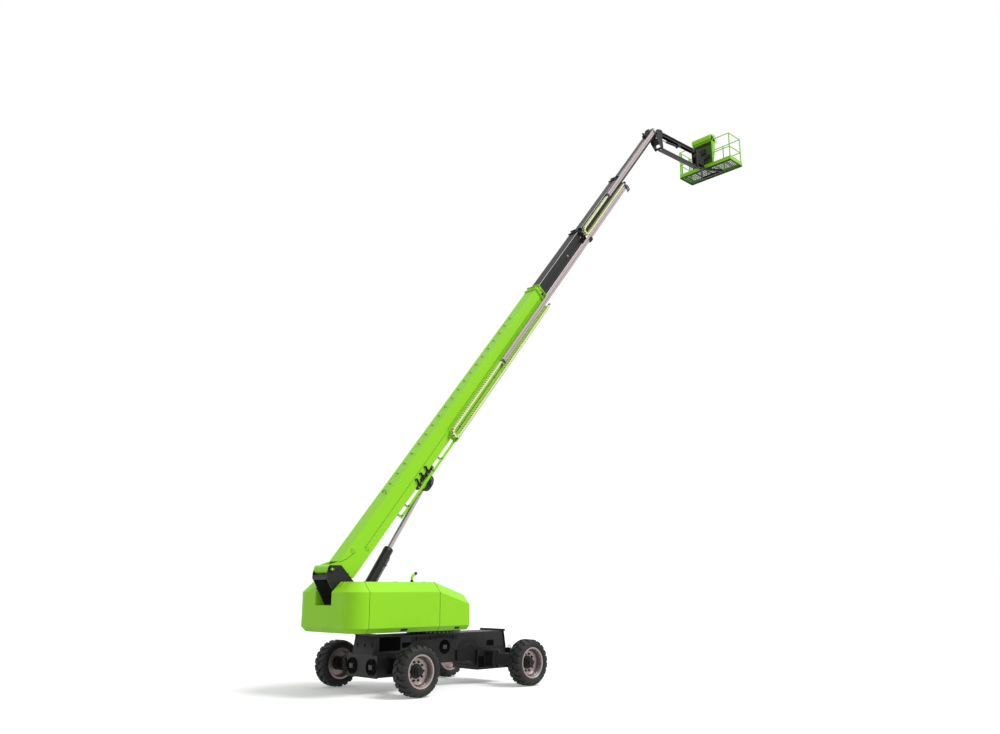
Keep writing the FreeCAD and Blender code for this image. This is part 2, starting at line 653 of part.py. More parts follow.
def make_front_cover(side, left):
    """Sloping nose cover ahead of the side cover, in a frame that follows its bevel's edge."""
    part = new_part("front_cover_" + side, NOSE)
    start, end = minus("seam_two"), "nose_x"
    across = ["strip_half + panel_seam", "body_half"]
    open_to = ["strip_half + panel_seam - 1", "body_half - low_in - cover_wall * 1.6"]
    if left < 0:
        across = [minus(across[1]), minus(across[0])]
        open_to = [minus(open_to[1]), minus(open_to[0])]
    add_slab(part, "XZ", [on_nose(start, "deck_low"), on_nose(start, "body_top"),
                          on_nose(end, "nose_top"), on_nose(end, "deck_low")], *across)
    fall = "bevel_drop * cos(nose_tilt)"
    bevel = [("body_half", "0"), ("body_half - bevel_in * 1.5", fall + " * 1.5"),
             ("body_half + 50", fall + " * 1.5"), ("body_half + 50", "0")]
    if left < 0:
        bevel = [(minus(a), b) for a, b in bevel]
    cut_slab(part, "YZ", bevel, minus("bevel_drop * 2"), "nose_x + seam_two + bevel_drop * 2")
    place_x, place_z = [measure(term) for term in on_nose("(nose_x - seam_two) / 2", "deck_low")]
    limit = measure("body_half") - 1
    bevel_edges(part, "low_in", lambda edge: abs(edge.CenterOfMass.y) > limit
                and abs(edge.CenterOfMass.x - place_x) < 5
                and abs(edge.CenterOfMass.z - place_z) < 5)
    inner = measure("strip_half + panel_seam") + 1
    tilt = math.radians(measure("nose_tilt"))
    upright = Vector(-math.sin(tilt), 0, math.cos(tilt))
    shell(part, "cover_wall", lambda face: abs(face.CenterOfMass.y) < inner
          or face.normalAt(0, 0).dot(upright) < -0.999)
    cut_slab(part, "XZ", [on_nose(plus(start, "-1"), "deck_low - 1"),
                          on_nose(plus(start, "-1"), "deck_low + deck_plate + gap"),
                          on_nose(plus(start, "cover_wall + 1"), "deck_low + deck_plate + gap"),
                          on_nose(plus(start, "cover_wall + 1"), "deck_low - 1")], *open_to)


def make_engine():
    part = new_part("engine_block")
    add_box(part, (minus("seam_one - 260"), minus("seam_one - 260 - engine_length")),
            (minus("strip_half + 30 + engine_width"), minus("strip_half + 30")),
            ("deck_low + deck_plate", "deck_low + deck_plate + engine_height"))


def make_tank():
    part = new_part("hydraulic_tank")
    add_box(part, (minus("seam_one - 260"), minus("seam_one - 260 - tank_length")),
            ("strip_half + 30", "strip_half + 30 + tank_width"),
            ("deck_low + deck_plate", "deck_low + deck_plate + tank_height"))


def make_exhaust():
    """Upright pipe through the hinge strip."""
    part = new_part("exhaust_pipe")
    add_disc(part, "XY", (minus("exhaust_x"), minus("exhaust_y")), "exhaust_radius",
             "deck_low + deck_plate", "body_top + exhaust_height")


# ---------------------------------------------------------------- boom

def boom_section(number, grow="0"):
    """Cross-section of a boom section: box with chamfered lower corners."""
    half = "base_half - section_gap * %s - base_wall * %d" % (
        "0" if number == 0 else "%d" % number, 1 if number else 0)
    if number > 1:
        half += " - fly_wall * %d" % (number - 1)
    step = "(section_drop + base_wall) * %d" % number
    half = plus(half, grow)
    top = plus(minus("base_top"), minus(step), grow)
    low = plus(minus("base_low"), step, minus(grow))
    return mirrored([
        (half, top), (half, plus(low, "low_chamfer_z")),
        (plus(half, minus("low_chamfer_y")), low),
    ])


def add_section(part, number, start, end, wall):
    add_slab(part, "YZ", boom_section(number), start, end)
    return lambda: cut_slab(part, "YZ", boom_section(number, minus(wall)),
                            plus(start, "-1"), plus(end, "1"))


def add_collar(part, number, end):
    """The double flange that stiffens a section's mouth."""
    for back in ("0", "collar_pitch"):
        high = plus(end, minus(back))
        add_slab(part, "YZ", boom_section(number, "collar_proud"),
                 plus(high, minus("collar_plate")), high)


ROOT_OUTLINE = [
    ("0 - pivot_boss * 0.95", "0 - pivot_boss * 0.4"), ("0 - pivot_boss * 0.7", "pivot_boss * 0.7"),
    ("pivot_boss * 0.4", "pivot_boss * 0.9"), ("330", "0 - base_top"), ("800", "0 - base_top"),
    ("1010", "low_chamfer_z - base_low"), ("girder_end - 140", "low_chamfer_z - base_low"),
    ("girder_end - 25", "0 - base_low + 120"), ("girder_end", "0 - base_low + 30"),
    ("girder_end - 50", "0 - root_low + 25"), ("girder_end - 180", "0 - root_low"),
    ("280", "0 - root_low"), ("0 - pivot_boss * 0.2", "0 - pivot_boss * 0.98"),
]


def make_boom_base():
    """Base section, its root plates that run on below it as a girder, and the eye's lugs."""
    part = new_part("boom_base", BOOM)
    hollow = add_section(part, 0, "base_start", "base_end", "base_wall")
    add_collar(part, 0, "base_end")
    hollow()
    for side in (1, -1):
        levels = ("base_half - 20", "base_half + 4") if side > 0 else (
            minus("base_half + 4"), minus("base_half - 20"))
        add_slab(part, "XZ", ROOT_OUTLINE, *levels)
        levels = ("lug_gap", "lug_gap + lug_plate") if side > 0 else (
            minus("lug_gap + lug_plate"), minus("lug_gap"))
        add_slab(part, "XZ", [
            ("lift_eye_d - 420", "3 - root_low"), ("lift_eye_d + 420", "3 - root_low"),
            ("lift_eye_d + 150", "0 - lift_eye_n - 15"), ("lift_eye_d + 70", "0 - lift_eye_n - 75"),
            ("lift_eye_d - 60", "0 - lift_eye_n - 85"), ("lift_eye_d - 130", "0 - lift_eye_n - 40"),
        ], *levels)
    across = (minus("base_half - 5"), "base_half - 5")
    add_slab(part, "XZ", [
        ("330", "0 - base_top"), ("base_start + 5", "0 - base_top"),
        ("base_start + 5", "0 - base_top - 20"), ("330", "0 - base_top - 20"),
    ], *across)
    add_slab(part, "XZ", rectangle("280", "girder_end - 180", "0 - root_low", "12 - root_low"),
             *across)
    add_slab(part, "XZ", rectangle("girder_end - 200", "girder_end - 180", "0 - root_low",
                                   "5 - base_low"), *across)
    add_disc(part, "XZ", (0, 0), "pivot_boss",
             minus("mast_half - gap"), "mast_half - gap")
    cut_disc(part, "XZ", (0, 0), "pivot_pin + seat",
             minus("mast_half"), "mast_half")


def make_fly(number, label, start, end):
    part = new_part(label, BOOM)
    hollow = add_section(part, number, start, end, "fly_wall")
    add_collar(part, number, end)
    hollow()


def make_tip_section():
    """The last section: its mouth is closed and carries the levelling pin."""
    part = new_part("boom_fly_three", BOOM)
    hollow = add_section(part, 3, "tail_three", "head_three", "fly_wall")
    hollow()
    add_disc(part, "XZ", ("tip_d", "0 - tip_n"), "90", minus("tip_half - gap"), "tip_half - gap")
    cut_disc(part, "XZ", ("tip_d", "0 - tip_n"), "tip_pin + seat",
             minus("tip_half"), "tip_half")


# ---------------------------------------------------------------- energy chains and tubes

def side_levels(wide):
    return minus("chain_y + %s" % wide), minus("chain_y - %s" % wide)


def make_tube(label, tail, head, level, brackets):
    """A pair of tubes, one above the other, with brackets on to the section they ride on."""
    part = new_part(label, BOOM)
    for up in ("tube_radius", "0 - tube_radius"):
        add_disc(part, "YZ", (minus("chain_y"), plus(minus(level), up)), "tube_radius + 2",
                 tail, head)
    for back, toward, top in brackets:
        place_d = plus(head, minus(back))
        add_slab(part, "YZ", rectangle(minus("chain_y - tube_radius"), toward,
                                       plus(top, "-45"), top),
                 plus(place_d, "-15"), plus(place_d, "15"))


def make_chain(label, bend, end, inner, outer_strand):
    """One strand of an energy chain with its half of the bend, as one outline."""
    part = new_part(label, BOOM)
    near, far = "(chain_reach - chain_thick / 2)", "(chain_reach + chain_thick / 2)"
    middle = plus(minus(inner), minus("chain_reach"))
    centre = plus(bend, far)
    lower = -1 if outer_strand else 1
    steps = [0, 15, 30, 45, 60, 75, 90]
    gap = 0 if outer_strand else 1

    def on_bend(radius, degrees):
        return (plus(centre, "0 - %s * cos(%d)" % (radius, degrees)),
                plus(middle, "%s * sin(%d) * %d" % (radius, degrees, lower)))
    outline = [on_bend(far, turn or gap) for turn in steps]
    outline += [(end, plus(middle, "%s * %d" % (far, lower))),
                (end, plus(middle, "%s * %d" % (near, lower)))]
    outline += [on_bend(near, turn or gap) for turn in reversed(steps)]
    low, high = side_levels("chain_width / 2")
    add_slab(part, "XZ", outline, low, high)


def make_tray():
    """Rail under the first chain: a web beside the boom, a foot, and arms to the boom."""
    part = new_part("chain_tray", BOOM)
    foot = plus("0 - chain_one_inner - chain_reach * 2 - chain_thick / 2", minus("gap"))
    low = plus(foot, minus("tray_wall"))
    inside = minus("chain_y - chain_width / 2 - gap")
    web = (inside, plus(inside, "tray_wall"))
    add_slab(part, "XZ", [
        ("tray_start", low), ("base_end - 320", low), ("base_end - 320", plus(low, "tray_depth")),
        ("girder_end + 130", plus(low, "tray_depth")), ("girder_end - 60", plus(low, "rail_depth")),
        ("tray_start", plus(low, "rail_depth")),
    ], *web)
    add_slab(part, "XZ", rectangle("tray_start", "base_end - 320", low, foot),
             minus("chain_y + chain_width / 2 + gap"), plus(inside, 1))
    for place_d in ("tray_start + 60", "tray_start + 560", "lift_eye_d + 800",
                    "base_start + 5200", "base_start + 7300", "base_end - 420"):
        beside = "girder" if place_d in ("tray_start + 60", "tray_start + 560",
                                         "lift_eye_d + 800") else ""
        if beside:
            points = [(plus(inside, 1), low), (plus(inside, 1), plus(low, "40")),
                      (minus("base_half - 5"), "0 - root_low"),
                      (minus("base_half - 85"), "0 - root_low")]
        else:
            points = [(plus(inside, 1), low), (plus(inside, 1), plus(low, "40")),
                      (minus("base_half - low_chamfer_y * 0.6"),
                       "0 - base_low + low_chamfer_z * 0.4"),
                      (minus("base_half - low_chamfer_y * 0.95"),
                       "0 - base_low + low_chamfer_z * 0.05")]
        add_slab(part, "YZ", points, plus(place_d, "-20"), plus(place_d, "20"))
    return part


def make_energy_chains():
    make_tray()
    make_tube("push_tube_one", "tube_one_tail", "head_two - 110", "tube_one_n",
              [("20", "-40", minus("base_low - (section_drop + base_wall) * 2"))])
    beside = minus("base_half - section_gap * 3 - base_wall - fly_wall * 2")
    make_tube("push_tube_two", "tube_two_tail", "head_three - 400", "tube_two_n",
              [("20", beside, "15 - tube_two_n")])
    make_chain("chain_one_outer", "chain_one_bend", "chain_one_end", "chain_one_inner", True)
    make_chain("chain_one_inner", "chain_one_bend", "tube_one_tail", "chain_one_inner", False)
    make_chain("chain_two_outer", "chain_two_bend", "chain_two_end", "chain_two_inner", True)
    make_chain("chain_two_inner", "chain_two_bend", "tube_two_tail", "chain_two_inner", False)


# ---------------------------------------------------------------- cylinders

def make_barrel(label, where, radius, length, pin, width, bore):
    """A cylinder barrel: eye at its foot, long bore, open at its gland."""
    part = new_part(label, where)
    add_disc(part, "YZ", (0, 0), radius, "0", length)
    add_disc(part, "XZ", (0, 0), plus(radius, "0 - 5"), minus(width), width)
    cut_disc(part, "YZ", (0, 0), bore, plus(radius, "0 - 10"), plus(length, "1"))
    cut_disc(part, "XZ", (0, 0), plus(pin, "seat"), minus(width), width)
    return part


def make_rod(label, where, radius, length, reach, pin, eye, width, piston):
    """A rod with its piston, eye and pin."""
    part = new_part(label, where)
    add_disc(part, "YZ", (0, 0), radius, plus(reach, minus(length)), reach)
    add_disc(part, "YZ", (0, 0), piston, plus(reach, minus(length)),
             plus(reach, minus(length), radius, "20"))
    add_disc(part, "XZ", (reach, 0), eye, minus(width), width)
    return part


def make_cylinders():
    make_barrel("lift_cylinder_barrel", LIFT, "barrel_radius", "barrel_length", "lift_pin",
                "(lug_gap - gap)", "barrel_radius - 18")
    make_rod("lift_cylinder_rod", LIFT, "rod_radius", "rod_length", "lift_length", "lift_pin",
             "lift_boss", "(lug_gap - gap)", "barrel_radius - 19")
    make_barrel("jib_cylinder_barrel", JIB_CYLINDER, "jib_barrel", "jib_barrel_length",
                "jib_pin", "jib_eye_half", "jib_barrel - 8")
    make_rod("jib_cylinder_rod", JIB_CYLINDER, "jib_rod", "jib_rod_length", "jib_cyl_length",
             "jib_pin", "40", "jib_eye_half", "jib_barrel - 9")


# ---------------------------------------------------------------- jib

def make_tip_bracket():
    """Levelling bracket: two plates on the boom tip's pin that hold the jib's three pins."""
    part = new_part("tip_bracket", TIP)
    outline = [
        ("0 - 85", "0 - 70"), ("0 - 70", "60"), ("60", "jib_rise + 10"),
        ("jib_from_tip - 40", "jib_rise + 78"), ("jib_from_tip + 60", "jib_rise + 62"),
        ("jib_from_tip + 78", "jib_rise - 40"), ("jib_from_tip + 30", "jib_rise - jib_base_drop"),
        ("jib_from_tip + link_x + 66", "jib_rise - link_z + 20"),
        ("jib_from_tip + link_x + 10", "jib_rise - link_z - 70"),
        ("jib_from_tip + link_x - 60", "jib_rise - link_z - 55"), ("60", "0 - 360"),
        ("0 - 20", "0 - 190"),
    ]
    inner, outer = "tip_half", "tip_half + tip_plate"
    add_slab(part, "XZ", outline, inner, outer)
    add_slab(part, "XZ", outline, minus(outer), minus(inner))
    add_disc(part, "XZ", (0, 0), "tip_pin", minus("tip_half + tip_plate + 12"),
             "tip_half + tip_plate + 12")
    pins = [("jib_from_tip", "jib_rise"),
            ("jib_from_tip + link_x", "jib_rise - link_z")]
    for pin in pins:
        add_disc(part, "XZ", pin, "jib_pin", minus("tip_half + 5"), "tip_half + 5")
    pins.append(("jib_from_tip - jib_base_back", "jib_rise - jib_base_drop"))
    for pin, inside in zip(pins, ("jib_half + gap", "link_out + gap", "jib_eye_half + gap")):
        for side in (1, -1):
            levels = (inside, "tip_half + 5") if side > 0 else (
                minus("tip_half + 5"), minus(inside))
            add_disc(part, "XZ", pin, "jib_pin + 15", *levels)


def make_jib():
    """Upper arm of the jib: a channel open below, so that its cylinder folds into it."""
    part = new_part("jib_beam", JIB)
    half = "jib_depth / 2"
    add_slab(part, "XZ", rectangle("0", "jib_length", minus(half), half),
             minus("jib_half"), "jib_half")
    for end in ("0", "jib_length"):
        add_disc(part, "XZ", (end, 0), half, minus("jib_half"), "jib_half")
    cut_slab(part, "XZ", rectangle("jib_depth * 0.8", "jib_length - jib_depth * 0.8",
                                   plus(minus(half), "-1"), plus(half, minus("jib_wall"))),
             minus("jib_half - jib_wall"), "jib_half - jib_wall")
    for end in ("0", "jib_length"):
        cut_disc(part, "XZ", (end, 0), "jib_pin + seat", minus("jib_half"), "jib_half")
    for side in (1, -1):
        levels = ("jib_half - jib_wall", "jib_half") if side > 0 else (
            minus("jib_half"), minus("jib_half - jib_wall"))
        add_slab(part, "XZ", [
            ("jib_lug_x - 130", "5 - jib_depth / 2"), ("jib_lug_x + 130", "5 - jib_depth / 2"),
            ("jib_lug_x + 45", "0 - jib_lug_z - 45"), ("jib_lug_x - 45", "0 - jib_lug_z - 45"),
        ], *levels)
    add_disc(part, "XZ", ("jib_lug_x", "0 - jib_lug_z"), "jib_pin",
             minus("jib_half"), "jib_half")


def make_jib_link():
    """Lower arm of the jib's parallelogram: two bars with a tube at each pin."""
    part = new_part("jib_link", LINK)
    half = "link_depth / 2"
    for side in (1, -1):
        levels = ("link_half", "link_out") if side > 0 else (
            minus("link_out"), minus("link_half"))
        add_slab(part, "XZ", rectangle("0", "jib_length", minus(half), half), *levels)
    add_slab(part, "XZ", rectangle("link_depth", "jib_length - link_depth", minus(half),
                                   plus(minus(half), "8")),
             minus("link_half + 2"), "link_half + 2")
    for end in ("0", "jib_length"):
        add_disc(part, "XZ", (end, 0), half, minus("link_out"), "link_out")
        cut_disc(part, "XZ", (end, 0), "jib_pin + seat", minus("link_out"), "link_out")


def make_platform_bracket():
    """Upright at the jib's end with the rotator's housing."""
    part = new_part("platform_bracket", JIB_END)
    inner, outer = "link_out + gap", "link_out + gap + tip_plate"
    housing_low = "rotator_low + 20 - (jib_end_z)"
    outline = [
        ("0 - 60", "70"), ("60", "80"), ("rotator_ahead - 40", "rotator_high - (jib_end_z)"),
        ("rotator_ahead - 40", housing_low), ("link_x + 50", housing_low),
        ("link_x + 50", "0 - link_z - 60"), ("link_x - 60", "0 - link_z - 60"),
    ]
    add_slab(part, "XZ", outline, inner, outer)
    add_slab(part, "XZ", outline, minus(outer), minus(inner))
    add_disc(part, "XY", ("rotator_ahead", 0), "rotator_radius + 25",
             "rotator_low - (jib_end_z)", "rotator_high - (jib_end_z)")
    for pin, inside in (((0, 0), "jib_half + gap"), (("link_x", "0 - link_z"), inner)):
        add_disc(part, "XZ", pin, "jib_pin", minus(outer), outer)
        for side in (1, -1):
            levels = (inside, outer) if side > 0 else (minus(outer), minus(inside))
            add_disc(part, "XZ", pin, "jib_pin + 15", *levels)


# ---------------------------------------------------------------- work platform

def make_platform_support():
    """Spindle foot, two spreading arms and the cross bar below the floor."""
    part = new_part("platform_support", CAGE)
    low, high = "floor_low - 90", "floor_low"
    add_disc(part, "XY", (0, 0), "rotator_radius", low, "rotator_low - gap")
    front = "cage_rear + cage_length * 0.62 - rotator_ahead"
    for side in (1, -1):
        add_slab(part, "XY", [
            ("0", "0 - frame_arm"), ("0", "frame_arm"),
            (front, "(cage_half * 0.40 + frame_arm) * %d" % side),
            (front, "(cage_half * 0.40 - frame_arm) * %d" % side),
        ] if side > 0 else [
            ("0", "0 - frame_arm"), ("0", "frame_arm"),
            (front, "0 - (cage_half * 0.40 - frame_arm)"),
            (front, "0 - (cage_half * 0.40 + frame_arm)"),
        ], low, high)
    add_slab(part, "XY", rectangle(plus(front, "-50"), front, "0 - cage_half * 0.42",
                                   "cage_half * 0.42"), low, high)


REAR = "cage_rear - rotator_ahead"
FRONT = "cage_rear - rotator_ahead + cage_length"
POST_IN = "toe_wall + post_radius"


def make_platform_floor():
    """Perimeter frame with bearers and an open grating."""
    part = new_part("platform_floor", CAGE)
    low, high = "floor_low", "floor_low + floor_depth"
    add_slab(part, "XY", rectangle(REAR, FRONT, minus("cage_half"), "cage_half"), low, high)
    cut_slab(part, "XY", rectangle(plus(REAR, "40"), plus(FRONT, "-40"),
                                   minus("cage_half - 40"), "cage_half - 40"), low, high)
    for share in (-2, -1, 0, 1, 2):
        add_slab(part, "XY", rectangle(
            plus(REAR, "30"), plus(FRONT, "-30"),
            "cage_half / 2.6 * %d - 18" % share, "cage_half / 2.6 * %d + 18" % share),
            low, plus(high, "-14"))
    for share in range(1, 7):
        place_x = plus(REAR, "cage_length * %d / 7" % share)
        add_slab(part, "XY", rectangle(plus(place_x, "-9"), plus(place_x, "9"),
                                       minus("cage_half - 30"), "cage_half - 30"),
                 plus(high, "-18"), high)


def make_toe_boards():
    part = new_part("toe_boards", CAGE)
    low, high = "floor_low + floor_depth", "floor_low + floor_depth + toe_height"
    add_slab(part, "XY", rectangle(REAR, FRONT, minus("cage_half"), "cage_half"), low, high)
    cut_slab(part, "XY", rectangle(plus(REAR, "toe_wall"), plus(FRONT, "0 - toe_wall"),
                                   minus("cage_half - toe_wall"), "cage_half - toe_wall"),
             low, high)


def add_bar(part, first, second, radius):
    """A round bar along X, Y or Z between two points given as formulas."""
    for letter, plane, pick in (("x", "YZ", (1, 2)), ("y", "XZ", (0, 2)), ("z", "XY", (0, 1))):
        index = "xyz".index(letter)
        if first[index] != second[index]:
            centre = (first[pick[0]], first[pick[1]])
            return add_disc(part, plane, centre, radius, first[index], second[index])
    raise ValueError("a bar needs two ends")


def make_platform_rails():
    """Posts with top and middle rails round the platform."""
    part = new_part("platform_rails", CAGE)
    base = "floor_low + floor_depth"
    top = "floor_low + cage_height"
    middle = "floor_low + mid_rail"
    rear, front = plus(REAR, POST_IN), plus(FRONT, minus(POST_IN))
    left, right = plus("cage_half", minus(POST_IN)), minus(plus("cage_half", minus(POST_IN)))
    gate_x = plus(REAR, "gate_rear + gate_width")
    for x, y in ((rear, left), (rear, right), (front, left), (front, right),
                 (front, "cage_half / 3"), (front, "0 - cage_half / 3"),
                 (rear, "console_left + console_half + 60"),
                 (rear, "console_left - console_half - 60"),
                 (plus(REAR, "gate_rear"), left), (gate_x, left)):
        add_bar(part, (x, y, base), (x, y, top), "post_radius")
    for level in (top, middle):
        add_bar(part, (front, right, level), (front, left, level), "rail_radius")
        add_bar(part, (rear, right, level), (rear, "console_left - console_half - 60", level),
                "rail_radius")
        add_bar(part, (rear, "console_left + console_half + 60", level), (rear, left, level), "rail_radius")
        add_bar(part, (rear, right, level), (front, right, level), "rail_radius")
        add_bar(part, (rear, left, level), (plus(REAR, "gate_rear"), left, level),
                "rail_radius")
        add_bar(part, (gate_x, left, level), (front, left, level), "rail_radius")
    add_bar(part, (rear, "console_left - console_half - 60", top), (rear, "console_left + console_half + 60", top),
            "rail_radius")


def make_gate():
    """Swing gate in the platform's left end."""
    part = new_part("platform_gate", CAGE)
    left = plus("cage_half", minus(POST_IN))
    rear = plus(REAR, "gate_rear + post_radius + gap + rail_radius")
    front = plus(REAR, "gate_rear + gate_width - post_radius - gap - rail_radius")
    low = "floor_low + floor_depth + toe_height + gap + rail_radius"
    top, middle = "floor_low + cage_height", "floor_low + mid_rail"
    for x in (rear, front):
        add_bar(part, (x, left, low), (x, left, top), "rail_radius")
    for level in (low, middle, top):
        add_bar(part, (rear, left, level), (front, left, level), "rail_radius")


def make_console():
    """Control console: a cabinet inside the rear rail under a rolled hood."""
    part = new_part("control_console", CAGE)
    top = "floor_low + cage_height"
    rear = plus(REAR, POST_IN, "rail_radius + 1")
    across = ("console_left - console_half", "console_left + console_half")
    add_slab(part, "XZ", [
        (rear, "floor_low + floor_depth + console_low"),
        (plus(rear, "console_depth * 0.4"), "floor_low + floor_depth + console_low"),
        (plus(rear, "console_depth"), plus(top, "-350")), (plus(rear, "console_depth"), top),
        (rear, top),
    ], *across)
    add_slab(part, "XZ", [
        (plus(rear, "-95"), plus(top, "45")), (plus(rear, "-110"), plus(top, "hood_rise * 0.5")),
        (plus(rear, "-70"), plus(top, "hood_rise * 0.82")), (rear, plus(top, "hood_rise")),
        (plus(rear, "130"), plus(top, "hood_rise")), (plus(rear, "250"), plus(top, "hood_rise * 0.8")),
        (plus(rear, "330"), plus(top, "hood_rise * 0.45")),
        (plus(rear, "340"), plus(top, "-20")), (rear, plus(top, "-20")), (rear, plus(top, "45")),
    ], *across)


def make_all():
    for corner, (ahead, left) in CORNERS.items():
        make_corner(corner, ahead, left)
    make_chassis()
    make_deck()
    make_mast()
    make_counterweight()
    for side, left in (("left", 1), ("right", -1)):
        make_bay_panel(side, left)
        make_side_cover(side, left)
        make_front_cover(side, left)
    make_engine()
    make_tank()
    make_exhaust()
    make_boom_base()
    make_fly(1, "boom_fly_one", "tail_one", "head_one")
    make_fly(2, "boom_fly_two", "tail_two", "head_two")
    make_tip_section()
    make_energy_chains()
    make_cylinders()
    make_tip_bracket()
    make_jib()
    make_jib_link()
    make_platform_bracket()
    make_platform_support()
    make_platform_floor()
    make_toe_boards()
    make_platform_rails()
    make_gate()
    make_console()


def check_parts():
    """Stop if any object failed or any sub-part has no sound solid."""
    for thing in DOC.Objects:
        if "Invalid" in thing.State or "Error" in thing.State:
            raise RuntimeError("failed: " + thing.Name + " " + str(thing.State))
    for part in PARTS:
        if part.Shape.isNull() or not part.Shape.isValid() or not part.Shape.Solids:
            raise RuntimeError("no sound solid: " + part.Label)


def middle_x():
    """Where the middle of the overall length lies, measured from the swing axis."""
    low = min(part.Shape.BoundBox.XMin for part in PARTS)
    high = max(part.Shape.BoundBox.XMax for part in PARTS)
    return (low + high) / 2


def export_parts():
    os.makedirs("parts", exist_ok=True)
    middle = middle_x()
    for part in PARTS:
        shape = part.Shape.copy()
        shape.translate(Vector(-middle, 0, 0))
        shape.exportStep("parts/" + part.Label + ".step")
    print("parts", len(PARTS), "swing axis at x =", round(-middle, 3))


make_all()
DOC.recompute()
check_parts()
export_parts()
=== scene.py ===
"""Paint, rubber, tread, chains, fittings and studio for a telescopic boom lift."""

import json
import math

import bmesh
import bpy
from bpy.props import FloatProperty, FloatVectorProperty, PointerProperty
from mathutils import Matrix, Vector


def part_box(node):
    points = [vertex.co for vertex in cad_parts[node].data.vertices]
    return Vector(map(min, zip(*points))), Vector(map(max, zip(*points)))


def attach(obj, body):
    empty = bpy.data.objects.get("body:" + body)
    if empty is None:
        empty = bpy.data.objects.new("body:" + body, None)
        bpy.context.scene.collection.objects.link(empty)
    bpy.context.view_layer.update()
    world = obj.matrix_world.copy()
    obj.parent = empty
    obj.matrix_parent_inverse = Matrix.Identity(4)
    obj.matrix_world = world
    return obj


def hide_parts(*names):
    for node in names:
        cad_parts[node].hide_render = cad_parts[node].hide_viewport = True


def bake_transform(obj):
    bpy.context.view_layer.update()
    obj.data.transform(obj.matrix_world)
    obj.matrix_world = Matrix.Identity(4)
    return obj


bl_info = {
    "name": "Boom Lift Finisher",
    "version": (1, 0, 0),
    "blender": (4, 5, 0),
    "location": "View3D > Sidebar > Boom Lift",
    "description": "Finishes and details a telescopic boom lift on its mechanical frame",
    "category": "Object",
}

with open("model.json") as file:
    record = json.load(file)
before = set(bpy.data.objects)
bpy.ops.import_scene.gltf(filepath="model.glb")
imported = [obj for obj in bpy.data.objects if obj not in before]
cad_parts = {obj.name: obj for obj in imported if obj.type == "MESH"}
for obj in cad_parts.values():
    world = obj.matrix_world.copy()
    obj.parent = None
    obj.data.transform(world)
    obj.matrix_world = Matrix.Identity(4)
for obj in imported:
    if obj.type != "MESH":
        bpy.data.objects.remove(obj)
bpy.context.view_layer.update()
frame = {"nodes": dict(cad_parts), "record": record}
JOINTS = {joint["name"]: joint for joint in frame["record"]["behaviour"]["joints"]}
CORNERS = ("front_left", "front_right", "rear_left", "rear_right")


def joint_place(name):
    return Vector(JOINTS[name]["pos_m"])


SWING = joint_place("turntable_swing")
PIVOT = joint_place("boom_luff")
ALONG = Vector(JOINTS["boom_extend"]["axis"])
NORMAL = Vector((-ALONG.z, 0, ALONG.x))


def on_boom(along, across, up):
    """A point of the boom's own frame: along it, to its left, and square off its top."""
    return PIVOT + ALONG * along + Vector((0, across, 0)) + NORMAL * up


# ---------------------------------------------------------------- settings

def swatch(name, description, default):
    return FloatVectorProperty(name=name, description=description, default=default,
                               subtype="COLOR", size=3)


class PaintSettings(bpy.types.PropertyGroup):
    green: swatch("Machine green", "Colour of the cowls, boom and platform",
                  (0.300, 0.730, 0.012))
    black: swatch("Chassis black", "Colour of the chassis, mast and first fly section",
                  (0.010, 0.010, 0.010))
    grey: swatch("Fly grey", "Colour of the outer fly sections",
                 (0.028, 0.028, 0.029))
    rim: swatch("Rim colour", "Warm grey of the wheel rims",
                (0.420, 0.350, 0.335))
    tube: swatch("Tube colour", "Bare steel of the push tubes",
                 (0.40, 0.33, 0.33))
    chain: swatch("Chain colour", "Cream plastic of the energy chains",
                  (0.80, 0.83, 0.47))
    rubber: swatch("Rubber colour", "Dark tyre rubber",
                   (0.011, 0.011, 0.012))


class StudioSettings(bpy.types.PropertyGroup):
    lens: FloatProperty(
        name="Lens", description="Focal length of the studio camera in millimetres",
        default=31.46, min=10, max=200)
    sun: FloatProperty(
        name="Sun", description="Strength of the key light", default=2.2, min=0)
    sky: FloatProperty(
        name="Sky", description="Strength of the even light from all sides",
        default=0.62, min=0)


# ---------------------------------------------------------------- shader values

class Value:
    """A shader socket that takes part in sums and products."""

    def __init__(self, shader, socket):
        self.shader = shader
        self.socket = socket

    def __add__(self, other):
        return self.shader.math("ADD", self, other)

    def __mul__(self, other):
        return self.shader.math("MULTIPLY", self, other)

    def __rsub__(self, other):
        return self.shader.math("SUBTRACT", other, self)

    def clamp(self):
        return self.shader.node("ShaderNodeClamp", {}, {0: self})

    def between(self, low, high):
        """0 below low, 1 above high and smooth between them."""
        return self.shader.node(
            "ShaderNodeMapRange", {"interpolation_type": "SMOOTHSTEP"},
            {0: self, 1: low, 2: high, 3: 0.0, 4: 1.0})


